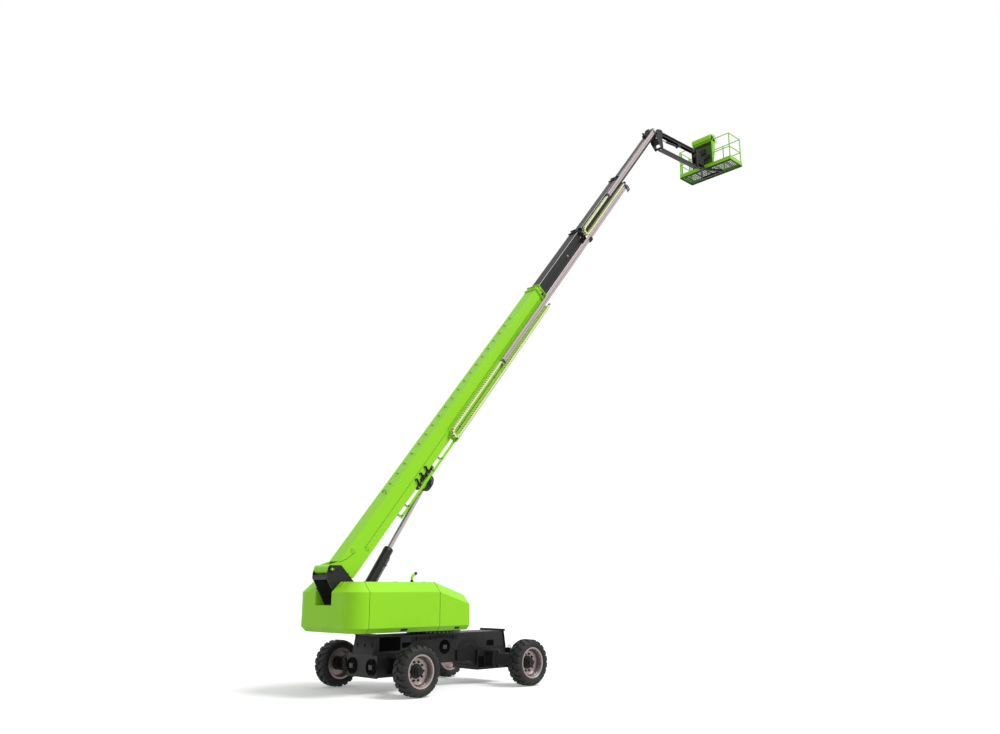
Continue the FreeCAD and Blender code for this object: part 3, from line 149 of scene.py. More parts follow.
class Shader:
    """A material's node tree, built from Python expressions."""

    def __init__(self, name, gloss=0.5):
        self.material = bpy.data.materials.new(name)
        self.material.use_nodes = True
        self.tree = self.material.node_tree
        self.surface = self.tree.nodes["Principled BSDF"]
        self.surface.inputs["Specular IOR Level"].default_value = gloss

    def node(self, kind, settings, sockets, output=0):
        made = self.tree.nodes.new(kind)
        for key, setting in settings.items():
            setattr(made, key, setting)
        for key, value in sockets.items():
            self.feed(made.inputs[key], value)
        return Value(self, made.outputs[output])

    def feed(self, socket, value):
        if isinstance(value, Value):
            self.tree.links.new(value.socket, socket)
        elif socket.type == "RGBA":
            socket.default_value = (*value, 1)
        else:
            socket.default_value = value

    def math(self, operation, first, second):
        return self.node("ShaderNodeMath", {"operation": operation}, {0: first, 1: second})

    def place(self):
        return self.node("ShaderNodeTexCoord", {}, {}, "Object")

    def height(self):
        """How high a place stands above the ground."""
        return self.node("ShaderNodeSeparateXYZ", {}, {0: self.place()}, "Z")

    def noise(self, scale, detail=3.0, rough=0.55):
        return self.node("ShaderNodeTexNoise", {},
                         {"Vector": self.place(), "Scale": scale,
                          "Detail": detail, "Roughness": rough})

    def mix(self, amount, first, second):
        return self.node("ShaderNodeMix", {"data_type": "RGBA"},
                         {0: amount, 6: first, 7: second}, 2)

    def shade(self, colour, amount):
        """A colour made darker or lighter by a factor round one."""
        return self.node("ShaderNodeVectorMath", {"operation": "SCALE"},
                         {0: colour, 3: amount})

    def bump(self, height, strength=0.2, distance=0.002):
        return self.node("ShaderNodeBump", {},
                         {"Strength": strength, "Distance": distance, "Height": height})

    def finish(self, **sockets):
        names = {"colour": "Base Color", "roughness": "Roughness", "metallic": "Metallic",
                 "normal": "Normal"}
        for key, value in sockets.items():
            self.feed(self.surface.inputs[names[key]], value)
        return self.material


MATERIALS = {}


def rgb(colour):
    return tuple(float(v) for v in colour)


def machine_paint(name, colour, roughness=0.38, dust=0.06):
    """Sprayed paint: soft clouds, dust that gathers low, fine scuffs and orange peel."""
    shader = Shader(name, 0.30)
    cloud = shader.noise(0.9, 4)
    fine = shader.noise(14, 3)
    low = 1 - shader.height().between(0.2, 2.4)
    grime = (shader.noise(5, 5).between(0.45, 0.80) * (low * 0.85 + 0.15) * dust).clamp()
    toned = shader.shade(colour, cloud * 0.07 + 0.965)
    dirty = shader.mix(grime, toned, (0.26, 0.24, 0.20))
    scuff = shader.noise(8, 5, 0.62).between(0.74, 0.78) * 0.4
    worn = shader.mix(scuff.clamp(), dirty, tuple(v * 0.6 + 0.01 for v in colour))
    peel = shader.noise(320, 2)
    return shader.finish(
        colour=worn, roughness=fine * 0.08 + grime * 0.4 + roughness,
        normal=shader.bump(peel, 0.03, 0.0005))


def cast_paint(name, colour):
    """Thick paint over a rough casting."""
    shader = Shader(name, 0.3)
    pits = shader.noise(35, 6, 0.65)
    swell = shader.noise(3.5, 3)
    toned = shader.shade(colour, swell * 0.10 + 0.94)
    return shader.finish(colour=toned, roughness=pits * 0.2 + 0.38,
                         normal=shader.bump(pits * 0.7 + swell, 0.12, 0.004))


def bare_steel(name, colour, roughness=0.35, metallic=0.75):
    """Drawn or plated steel with soft streaks."""
    shader = Shader(name)
    streaks = shader.noise(7, 4, 0.6)
    toned = shader.shade(colour, streaks * 0.16 + 0.92)
    return shader.finish(colour=toned, metallic=metallic, roughness=streaks * 0.15 + roughness,
                         normal=shader.bump(streaks, 0.03, 0.001))


def hard_chrome(name):
    shader = Shader(name)
    haze = shader.noise(9, 4)
    return shader.finish(colour=shader.shade((0.46, 0.40, 0.43), haze * 0.08 + 0.95),
                         metallic=1.0, roughness=haze * 0.08 + 0.16)


def tyre_rubber(name, colour):
    shader = Shader(name, 0.35)
    grain = shader.noise(90, 5, 0.6)
    dust = shader.noise(5, 5).between(0.45, 0.85) * 0.16
    low = 1 - shader.height().between(0.0, 0.40)
    toned = shader.mix((dust + low * 0.08).clamp(), colour, (0.075, 0.068, 0.058))
    return shader.finish(colour=toned, roughness=grain * 0.2 + 0.50,
                         normal=shader.bump(grain, 0.25, 0.002))


def moulded_plastic(name, colour, roughness=0.5, gloss=0.4):
    """Moulded plastic or rubber with a fine grain."""
    shader = Shader(name, gloss)
    grain = shader.noise(240, 3)
    cloud = shader.noise(3, 3)
    return shader.finish(colour=shader.shade(colour, cloud * 0.12 + 0.94),
                         roughness=grain * 0.1 + roughness,
                         normal=shader.bump(grain, 0.12, 0.001))


def make_materials():
    paint = bpy.context.scene.boom_lift_paint
    green = rgb(paint.green)
    MATERIALS.update({
        "green": machine_paint("Machine green", green),
        # Machine green at 0.85. On the first chain rail's web it is painted shade from the chain;
        # the root covers and girder lines wear it as a darker tone.
        "dimmed_green": machine_paint("Dimmed green", tuple(v * 0.85 for v in green), 0.45),
        # Very dark green. On the platform floor, its grating and the console panel it is painted
        # shade; the lift cylinder's lines wear it as their colour.
        "dark_green_and_shade": machine_paint("Dark green and painted shade", (0.030, 0.088, 0.006), 0.5),
        "black": machine_paint("Chassis black", rgb(paint.black), 0.42, 0.05),
        "plate": machine_paint("Plate black", (0.024, 0.024, 0.024), 0.40, 0.04),
        "hub": machine_paint("Hub black", (0.006, 0.006, 0.006), 0.32, 0.03),
        "grey": machine_paint("Fly grey", rgb(paint.grey), 0.38, 0.02),
        # Light grey for strips along the fly sections' top corners: a painted highlight.
        "edge": machine_paint("Painted highlight grey", (0.55, 0.55, 0.56), 0.35, 0.02),
        "casting": cast_paint("Painted casting", green),
        "rim": bare_steel("Rim steel", rgb(paint.rim), 0.30, 0.55),
        "rubber": tyre_rubber("Tyre rubber", rgb(paint.rubber)),
        "steel": bare_steel("Push tube steel", rgb(paint.tube), 0.50, 0.30),
        "bolt": bare_steel("Zinc bolt", (0.20, 0.19, 0.18), 0.4),
        "chrome": hard_chrome("Hard chrome"),
        "chain": moulded_plastic("Chain plastic", rgb(paint.chain)),
        "hose": moulded_plastic("Hose rubber", (0.10, 0.11, 0.055), 0.55),
        "seam": moulded_plastic("Fitting black", (0.008, 0.009, 0.008), 0.45, 0.25),
        # Near-black that paints shade: in the frame's openings, in the round covers and on the
        # hood's cheeks.
        "shade_black": moulded_plastic("Shadow black", (0.002, 0.002, 0.002), 0.70, 0.05),
        "plug": machine_paint("Plug grey", (0.075, 0.075, 0.078), 0.40, 0.04),
        "red": moulded_plastic("Stop red", (0.50, 0.012, 0.010), 0.35),
        "engine": machine_paint("Engine grey", (0.10, 0.10, 0.105), 0.5),
    })


NODE_FINISH = [
    ("tyre_", "rubber"), ("rim_", "rim"), ("counterweight", "casting"),
    ("side_cover", "green"), ("front_cover", "green"), ("bay_panel", "green"),
    # The platform floor's very dark green is painted shade on the cage's underside.
    ("boom_base", "green"), ("chain_tray", "green"), ("platform_floor", "dark_green_and_shade"),
    ("toe_boards", "green"), ("platform_rails", "green"), ("platform_gate", "green"),
    ("control_console", "green"), ("exhaust", "green"), ("lift_cylinder_rod", "chrome"),
    ("jib_cylinder_rod", "chrome"), ("push_tube", "steel"), ("chain_", "chain"),
    ("boom_fly_one", "black"), ("boom_fly", "grey"), ("jib_", "black"),
    ("engine", "engine"), ("", "black"),
]


# ---------------------------------------------------------------- places and angles

BOOM_TURN = Matrix((ALONG, Vector((0, 1, 0)), NORMAL)).transposed().to_4x4()
BOOM = Matrix.Translation(PIVOT) @ BOOM_TURN
UPRIGHT = Matrix.Rotation(math.pi / 2, 4, "X")


def machine(x, y, z):
    """A point measured from the swing axis on the ground."""
    return Vector((SWING.x + x, y, z))


def at(place):
    return Matrix.Translation(Vector(place))


def mirrored(left):
    """The machine's own frame, or its mirror image for the right side."""
    return at(machine(0, 0, 0)) @ Matrix.Scale(left, 4, (0, 1, 0))


def steps(count, step, start=0.0):
    """Angles or places in equal steps."""
    return [start + step * index for index in range(count)]


def circle(radius, angles, high=None):
    """Places at these angles on a circle, or an ellipse of another height, in x and z."""
    return [(radius * math.cos(turn), 0.0, (high or radius) * math.sin(turn))
            for turn in angles]


def flat_ring(x, y, z, radius, angles, normal=(0, 0, 1)):
    """Places at these angles on a level circle, each with the way its bolt faces."""
    return [(Vector((x + radius * math.cos(turn), y + radius * math.sin(turn), z)), normal)
            for turn in angles]


def axes_at(place, ahead, left=None):
    """A matrix with x along one direction and y to its left, at a place."""
    x = Vector(ahead).normalized()
    up = Vector((0, 0, 1)) if abs(x.z) < 0.9 else Vector((1, 0, 0))
    y = Vector(left or up.cross(x)).normalized()
    return at(place) @ Matrix((x, y, x.cross(y))).transposed().to_4x4()


def facing(place, normal):
    """A matrix that stands a z-up shape on a surface."""
    z = Vector(normal).normalized()
    side = Vector((0, 1, 0)) if abs(z.y) < 0.9 else Vector((1, 0, 0))
    x = side.cross(z).normalized()
    return at(place) @ Matrix((x, z.cross(x), z)).transposed().to_4x4()


def round_at(place, normal):
    """A matrix that stands a shape turned about y on a surface."""
    return facing(place, normal) @ UPRIGHT


# ---------------------------------------------------------------- modelling tools

def deselect():
    if bpy.context.object and bpy.context.object.mode != "OBJECT":
        bpy.ops.object.mode_set(mode="OBJECT")
    bpy.ops.object.select_all(action="DESELECT")


def pick(*objects):
    """Select these objects alone; the last one is active."""
    deselect()
    for obj in objects:
        obj.select_set(True)
    bpy.context.view_layer.objects.active = objects[-1]


def settle(piece, smooth=30):
    """Turn all faces outwards and round off the shading between nearly flat faces."""
    pick(piece)
    bpy.ops.object.mode_set(mode="EDIT")
    bpy.ops.mesh.select_all(action="SELECT")
    bpy.ops.mesh.remove_doubles(threshold=0.00005)
    bpy.ops.mesh.normals_make_consistent(inside=False)
    bpy.ops.object.mode_set(mode="OBJECT")
    bpy.ops.object.shade_smooth_by_angle(angle=math.radians(smooth))
    return piece


def first_ring(points):
    """A filled outline through points, left open for editing."""
    deselect()
    bpy.ops.mesh.primitive_circle_add(vertices=len(points), fill_type="NGON")
    bpy.ops.object.mode_set(mode="EDIT")
    mesh = bmesh.from_edit_mesh(bpy.context.object.data)
    mesh.verts.ensure_lookup_table()
    for vertex, point in zip(mesh.verts, points):
        vertex.co = point
    return bpy.context.object


def grow(rings, smooth=30, bevel=0.0):
    """A closed shape through rings of points, each ring extruded from the one before."""
    piece = first_ring(rings[0])
    ring = [Vector(point) for point in rings[0]]
    for following in rings[1:]:
        bpy.ops.mesh.extrude_region_move()
        mesh = bmesh.from_edit_mesh(piece.data)
        for vertex in [vertex for vertex in mesh.verts if vertex.select]:
            near = min(range(len(ring)), key=lambda index: (ring[index] - vertex.co).length)
            vertex.co = Vector(following[near])
        ring = [Vector(point) for point in following]
    bmesh.update_edit_mesh(piece.data)
    bpy.ops.object.mode_set(mode="OBJECT")
    if bevel:
        round_off(piece, bevel)
    return settle(piece, smooth)


def round_off(piece, width, segments=1):
    """Bevel every clear edge with a modifier, and apply it."""
    pick(piece)
    made = piece.modifiers.new("Edges", "BEVEL")
    made.width = width
    made.segments = segments
    made.limit_method = "ANGLE"
    made.angle_limit = math.radians(35)
    bpy.ops.object.modifier_apply(modifier=made.name)


def plate(outline, thick, bevel=0.0, matrix=Matrix.Identity(4)):
    """A flat plate: an outline in x and z, extruded along y from 0 to its thickness."""
    return move(grow([[(x, y, z) for x, z in outline] for y in (0, thick)], bevel=bevel), matrix)


def block(low, high, bevel=0.004, segments=1):
    """A block between two corners with its edges bevelled."""
    deselect()
    bpy.ops.mesh.primitive_cube_add(size=1, location=[(a + b) / 2 for a, b in zip(low, high)])
    piece = bpy.context.object
    piece.scale = [abs(b - a) for a, b in zip(low, high)]
    bpy.ops.object.transform_apply(location=True, rotation=True, scale=True)
    round_off(piece, bevel, segments)
    return settle(piece)


def blocks(corners, bevel=0.004, matrix=Matrix.Identity(4)):
    return [move(block(low, high, bevel), matrix) for low, high in corners]


def beam(first, second, wide, high, bevel=0.004):
    """A square bar between two places."""
    run = Vector(second) - Vector(first)
    bar = block((0, -wide / 2, -high / 2), (run.length, wide / 2, high / 2), bevel)
    return move(bar, axes_at(first, run))


def turned(profile, sides=32):
    """A closed profile of (radius, along y) spun once round the y axis."""
    piece = first_ring([(radius, along, 0.0) for radius, along in profile])
    bmesh.update_edit_mesh(piece.data)
    bpy.ops.mesh.delete(type="ONLY_FACE")
    bpy.ops.mesh.select_all(action="SELECT")
    bpy.ops.mesh.spin(steps=sides, angle=math.tau, center=(0, 0, 0), axis=(0, 1, 0))
    bpy.ops.mesh.select_all(action="SELECT")
    bpy.ops.mesh.remove_doubles(threshold=0.00005)
    bpy.ops.mesh.delete_loose(use_verts=True, use_edges=True, use_faces=False)
    bpy.ops.object.mode_set(mode="OBJECT")
    return settle(piece)


def pipe(points, radius, smooth=True, fineness=1):
    """A pipe along a smooth line through points, or along a straight-sided one."""
    deselect()
    curve = bpy.data.curves.new("pipe", "CURVE")
    curve.dimensions = "3D"
    spline = curve.splines.new("NURBS" if smooth else "POLY")
    spline.points.add(len(points) - 1)
    for point, place in zip(spline.points, points):
        point.co = (*place, 1)
    if smooth:
        spline.order_u = 3
        spline.use_endpoint_u = True
        spline.resolution_u = 6
    curve.bevel_depth = radius
    curve.bevel_resolution = fineness
    curve.use_fill_caps = True
    piece = bpy.data.objects.new("pipe", curve)
    bpy.context.collection.objects.link(piece)
    pick(piece)
    bpy.ops.object.convert(target="MESH")
    return settle(bpy.context.object)


def boom_pipe(points, radius, smooth=True):
    return pipe([on_boom(*point) for point in points], radius, smooth)


def hex_bolt(across, tall):
    """A hexagon head on its washer, standing along z from z = 0."""
    radius = across / math.sqrt(3)
    washer = 0.004
    deselect()
    bpy.ops.mesh.primitive_cylinder_add(vertices=6, radius=radius, depth=tall,
                                        location=(0, 0, washer + tall / 2))
    head = bpy.context.object
    bpy.ops.object.transform_apply(location=True, rotation=True, scale=True)
    bpy.ops.object.mode_set(mode="EDIT")
    mesh = bmesh.from_edit_mesh(head.data)
    bpy.ops.mesh.select_all(action="DESELECT")
    for face in mesh.faces:
        face.select = face.normal.z > 0.9
    bpy.ops.mesh.inset(thickness=radius * 0.18, depth=radius * 0.10)
    bpy.ops.object.mode_set(mode="OBJECT")
    deselect()
    bpy.ops.mesh.primitive_cylinder_add(vertices=14, radius=radius * 1.3, depth=washer,
                                        location=(0, 0, washer / 2))
    bpy.ops.object.transform_apply(location=True, rotation=True, scale=True)
    return settle(join([head, bpy.context.object]))


def move(piece, matrix):
    piece.data.transform(matrix)
    if matrix.determinant() < 0:
        piece.data.flip_normals()
    return piece


def stamp_copy(master, matrix=Matrix.Identity(4)):
    """One more of a finished shape, with its own mesh, moved by a matrix."""
    copy = master.copy()
    copy.data = master.data.copy()
    bpy.context.collection.objects.link(copy)
    return move(copy, matrix)


def stamp(master, places):
    """Copies of a finished shape at each place, joined as one; the master goes."""
    made = [stamp_copy(master, matrix) for matrix in places]
    bpy.data.objects.remove(master)
    return join(made)


def join(pieces, name=None):
    pick(*pieces)
    if len(pieces) > 1:
        bpy.ops.object.join()
    whole = bpy.context.object
    if name:
        whole.name = name
    return whole


def finish(piece, material, ride, nodes):
    """Give a piece its finish and its body, and hide the parts it stands for."""
    piece.data.materials.clear()
    piece.data.materials.append(MATERIALS[material])
    ride(piece)
    if nodes:
        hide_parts(*nodes)


def fit(name, material, body, parts, *nodes):
    """Join parts as one named piece that rides on a body."""
    finish(join(parts, name), material, lambda piece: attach(piece, body), nodes)


def bolts(name, body, places, across=0.026, tall=0.016, material="bolt"):
    """Hexagon bolts at (place, normal) pairs."""
    fit(name, material, body,
        [stamp(hex_bolt(across, tall), [facing(*place) for place in places])])


def pin_caps(name, body, place, half, radius):
    """A stepped cap with two bolts at both ends of a cross pin."""
    cap = turned([(0.0, 0.0), (radius, 0.0), (radius, 0.006), (radius * 0.85, 0.010),
                  (radius * 0.5, 0.010), (radius * 0.42, 0.014), (0.0, 0.014)], 20)
    ends = [(place + Vector((0, side * half, 0)), side) for side in (1, -1)]
    fit(name + "_caps", "hub", body,
        [stamp(cap, [round_at(point, (0, side, 0)) for point, side in ends])])
    bolts(name + "_bolts", body, [
        (point + Vector((step * radius * 0.68, side * 0.009, 0)), (0, side, 0))
        for point, side in ends for step in (-1, 1)], radius * 0.26, 0.007)


# ---------------------------------------------------------------- frame's paint

class BOOMLIFT_OT_paint_frame(bpy.types.Operator):
    """Give every mechanical part its paint, rubber or steel"""
    bl_idname = "boomlift.paint_frame"
    bl_label = "Paint the machine"

    def execute(self, context):
        make_materials()
        for name, node in frame["nodes"].items():
            material = next(material for start, material in NODE_FINISH if name.startswith(start))
            for slot in node.material_slots:
                slot.material = MATERIALS[material]
        return {"FINISHED"}


# ---------------------------------------------------------------- wheels

TYRE_RADIUS = 0.5775
LUGS_A_SIDE = 20
# distance from the tyre's middle, radius of the lug's top and foot, shift round the tyre, width
LUG_STATIONS = (
    (0.004, 0.5765, 0.545, 0.000, 0.092), (0.048, 0.5770, 0.545, 0.026, 0.104),
    (0.082, 0.5770, 0.544, 0.030, 0.118), (0.128, 0.5768, 0.540, 0.064, 0.112),
    (0.170, 0.5660, 0.530, 0.074, 0.126), (0.200, 0.5420, 0.512, 0.092, 0.124),
    (0.216, 0.5080, 0.492, 0.098, 0.112),
)
# radius and distance from the middle: bead, sidewall with its ribs, shoulder, crown
TYRE_HALF = (
    (0.357, 0.178), (0.388, 0.180), (0.389, 0.193), (0.400, 0.203), (0.413, 0.214),
    (0.421, 0.2135), (0.426, 0.2165), (0.452, 0.2205), (0.456, 0.2185), (0.461, 0.2205),
    (0.482, 0.2190), (0.506, 0.2080), (0.528, 0.1850), (0.540, 0.150), (0.548, 0.080),
)
TYRE_CROWN = (0.550, 0.000)
RIM_PROFILE = (
    (0.355, -0.178), (0.385, -0.178), (0.385, -0.190), (0.343, -0.188), (0.330, -0.172),
    (0.303, -0.089), (0.303, -0.030), (0.150, -0.030), (0.150, -0.012), (0.248, -0.012),
    (0.262, -0.004), (0.290, -0.004), (0.303, 0.010), (0.303, 0.050), (0.309, 0.056),
    (0.309, 0.082), (0.318, 0.090), (0.318, 0.118), (0.328, 0.126), (0.328, 0.146),
    (0.343, 0.158), (0.347, 0.178), (0.372, 0.184), (0.378, 0.190), (0.385, 0.188),
    (0.385, 0.178), (0.355, 0.178),
)
HUB_PROFILE = (
    (0.0, 0.150), (0.050, 0.150), (0.056, 0.158), (0.082, 0.158), (0.088, 0.150),
    (0.090, 0.108), (0.104, 0.100), (0.116, 0.096), (0.121, 0.088), (0.121, 0.046),
    (0.138, 0.040), (0.150, 0.036), (0.150, -0.006), (0.170, -0.010), (0.170, -0.030),
    (0.0, -0.030),
)
# count, radius, distance out, width across flats and height of the nuts on the hub
HUB_NUTS = ((10, 0.2125, -0.012, 0.040, 0.030), (6, 0.103, 0.099, 0.018, 0.010),
            (1, 0.0, 0.150, 0.034, 0.012))
# Radius and place of the dark bands painted as shade at each step of the rim.
RIM_STEPS = ((0.3065, 0.054), (0.3135, 0.088), (0.3230, 0.124), (0.3360, 0.154))


def wheel_place(corner):
    """The matrix that takes a wheel modelled with y outwards to its place."""
    turn = 0 if corner.endswith("left") else math.pi
    return at(joint_place("wheel_spin_" + corner)) @ Matrix.Rotation(turn, 4, "Z")


def make_lug():
    """One bar of the tread, stepped and slanted, over the crown and down the shoulder."""
    rings = []
    for across, top, foot, shift, width in LUG_STATIONS:
        corners = [(radius, (shift + side * width) / TYRE_RADIUS) for radius, side in
                   ((foot, -0.54), (top, -0.44), (top, 0.44), (foot, 0.54))]
        rings.append([(radius * math.sin(turn), across, radius * math.cos(turn))
                      for radius, turn in corners])
    return grow(rings, smooth=20)


def make_tyre():
    """The carcass and two rows of lugs, half a step apart."""
    far_half = [(radius, -along) for radius, along in reversed(TYRE_HALF)]
    carcass = turned([*TYRE_HALF, TYRE_CROWN, *far_half], 72)
    lug = make_lug()
    other = stamp_copy(lug, Matrix.Scale(-1, 4, (0, 1, 0)))
    step = math.tau / LUGS_A_SIDE
    rows = [stamp(bar, [Matrix.Rotation(turn, 4, "Y") for turn in steps(LUGS_A_SIDE, step, start)])
            for bar, start in ((lug, 0.0), (other, step / 2))]
    return join([*rows, carcass])


def make_rim():
    return turned(RIM_PROFILE, 56)


def make_hub():
    nuts = [stamp(hex_bolt(across, tall), [
        Matrix.Rotation(turn, 4, "Y") @ at((radius, out, 0)) @ UPRIGHT.inverted()
        for turn in steps(count, math.tau / count)])
            for count, radius, out, across, tall in HUB_NUTS]
    return join([*nuts, turned(HUB_PROFILE, 36)])


def make_rim_shade_rings():
    """Dark bands at the rim's steps: painted shade between the rim's rings."""
    return join([turned([(radius - 0.004, along - 0.004), (radius + 0.003, along - 0.004),
                         (radius + 0.003, along + 0.0045), (radius - 0.004, along + 0.0045)], 48)
                 for radius, along in RIM_STEPS])


class BOOMLIFT_OT_wheels(bpy.types.Operator):
    """Make the lugged tyres, stepped rims and hubs"""
    bl_idname = "boomlift.wheels"
    bl_label = "Wheels"

    def execute(self, context):
        for kind, make, material, stands_in in (
                ("tyre", make_tyre, "rubber", True), ("rim", make_rim, "rim", True),
                ("hub", make_hub, "hub", False), ("rim_shade_ring", make_rim_shade_rings, "seam", False)):
            master = make()
            for corner in CORNERS:
                name = "%s_%s" % (kind, corner)
                fit(name, material, "wheel_" + corner, [stamp_copy(master, wheel_place(corner))],
                    *([name] if stands_in else []))
            bpy.data.objects.remove(master)
        return {"FINISHED"}


# ---------------------------------------------------------------- energy chains

# bend and end of each strand's pair along the boom, and the level of the loop's middle
LOOPS = {
    "chain_one": {"bend": 5.190, "outer": 11.390, "inner": 8.240, "middle": -0.628,
                  "fixed": "boom_base", "moving": "boom_fly_two"},
    "chain_two": {"bend": 14.860, "outer": 18.340, "inner": 17.100, "middle": -0.305,
                  "fixed": "boom_fly_two", "moving": "boom_fly_three"},
}
LOOP_RADIUS = 0.125
QUARTER = LOOP_RADIUS * math.pi / 2
# from the loop's outermost point to the centre of its bend, with half a link's height
BEND_BACK = 0.154
CHAIN_Y = -0.330
LINK_PITCH, LINK_HIGH, LINK_WIDE, LINK_PLATE = 0.088, 0.029, 0.050, 0.013
BEND_STEPS, RUN_STEPS = 8, 30


def loop_point(loop, strand, run):
    """A place on a strand and the angle it runs at, a distance from the loop's end."""
    sign = -1 if strand == "outer" else 1
    centre = loop["bend"] + BEND_BACK
    if run < QUARTER:
        turn = run / LOOP_RADIUS
        return (centre - LOOP_RADIUS * math.cos(turn),
                loop["middle"] + sign * LOOP_RADIUS * math.sin(turn), sign * (math.pi / 2 - turn))
    return centre + run - QUARTER, loop["middle"] + sign * LOOP_RADIUS, 0.0


def strand_length(loop, strand):
    return loop[strand] - loop["bend"] - BEND_BACK + QUARTER


def make_link():
    """One link: two waisted side plates and a bar above and below."""
    corner = [(1.0, 0.55), (0.72, 1.0)]
    half = LINK_PITCH * 0.49
    outline = [(-half * x, -LINK_HIGH * z) for x, z in corner]
    outline += [(half * x, -LINK_HIGH * z) for x, z in reversed(corner)]
    outline += [(half * x, LINK_HIGH * z) for x, z in corner]
    outline += [(-half * x, LINK_HIGH * z) for x, z in reversed(corner)]
    sides = [plate(outline, LINK_PLATE, matrix=at((0, y, 0)))
             for y in (-LINK_WIDE, LINK_WIDE - LINK_PLATE)]
    bars = [grow([[(-0.026, y, low), (0.026, y, low), (0.026, y, low + 0.008),
                   (-0.026, y, low + 0.008)] for y in (-0.040, 0.040)])
            for low in (-LINK_HIGH + 0.001, LINK_HIGH - 0.009)]
    return join([*sides, *bars])


class BOOMLIFT_OT_chains(bpy.types.Operator):
    """Lay the links and the hoses inside them round each loop of the energy chains"""
    bl_idname = "boomlift.chains"
    bl_label = "Energy chains"

    def execute(self, context):
        link = make_link()
        for name, loop in LOOPS.items():
            for strand in ("outer", "inner"):
                self.lay_links(link, name, loop, strand)
                self.lay_hoses(name, loop, strand)
        bpy.data.objects.remove(link)
        return {"FINISHED"}

    def lay_links(self, link, name, loop, strand):
        places = []
        for index in range(int(strand_length(loop, strand) / LINK_PITCH)):
            along, up, turn = loop_point(loop, strand, LINK_PITCH * (index + 0.5))
            places.append(BOOM @ at((along, CHAIN_Y, up)) @ Matrix.Rotation(turn, 4, "Y"))
        links = join([stamp(stamp_copy(link), places)], "%s_%s_links" % (name, strand))
        self.hang(links, "chain", name, loop, strand, "%s_%s" % (name, strand))

    def lay_hoses(self, name, loop, strand):
        """The flat bundle of hoses that fills the chain, with a ring at each step."""
        straight = strand_length(loop, strand) - QUARTER
        runs = [QUARTER * index / BEND_STEPS for index in range(BEND_STEPS)]
        runs += [QUARTER + straight * index / RUN_STEPS for index in range(RUN_STEPS + 1)]
        rings = []
        for run in runs:
            along, up, turn = loop_point(loop, strand, run)
            rings.append([on_boom(along + high * math.sin(turn), CHAIN_Y + side,
                                  up + high * math.cos(turn))
                          for side, high in ((-0.034, -0.014), (0.034, -0.014),
                                             (0.034, 0.014), (-0.034, 0.014))])
        hoses = join([grow(rings, smooth=45)], "%s_%s_hoses" % (name, strand))
        self.hang(hoses, "hose", name, loop, strand)

    def hang(self, piece, material, name, loop, strand, *nodes):
        """Give a strand its finish and bake its place into its mesh; the strand's two ends are
        worked out but not used.
        """
        up = loop["middle"] + (-LOOP_RADIUS if strand == "outer" else LOOP_RADIUS)
        start, end = [tuple(on_boom(along, CHAIN_Y, up))
                      for along in (loop["bend"] + 0.2, loop[strand] - 0.05)]
        finish(piece, material, lambda part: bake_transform(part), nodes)


# ---------------------------------------------------------------- boom

# half width, level of the top and level of the foot of each section
SECTIONS = {"boom_base": (0.225, -0.095, -0.600), "boom_fly_one": (0.187, -0.130, -0.565),
            "boom_fly_two": (0.151, -0.165, -0.530), "boom_fly_three": (0.115, -0.200, -0.495)}
HEADS = {"boom_base": 11.590, "boom_fly_one": 14.970, "boom_fly_two": 18.530}
# Where light grey strips paint a highlight along each fly section's top corners.
HIGHLIGHT_RUNS = {"boom_fly_one": (11.62, 14.75), "boom_fly_two": (15.0, 18.3),
             "boom_fly_three": (18.56, 21.4)}
BASE_TOP = SECTIONS["boom_base"][1]
RAIL_CLAMPS = (5.62, 7.72, 9.60, 11.17)
TO_RIGHT = (0, -1, 0)


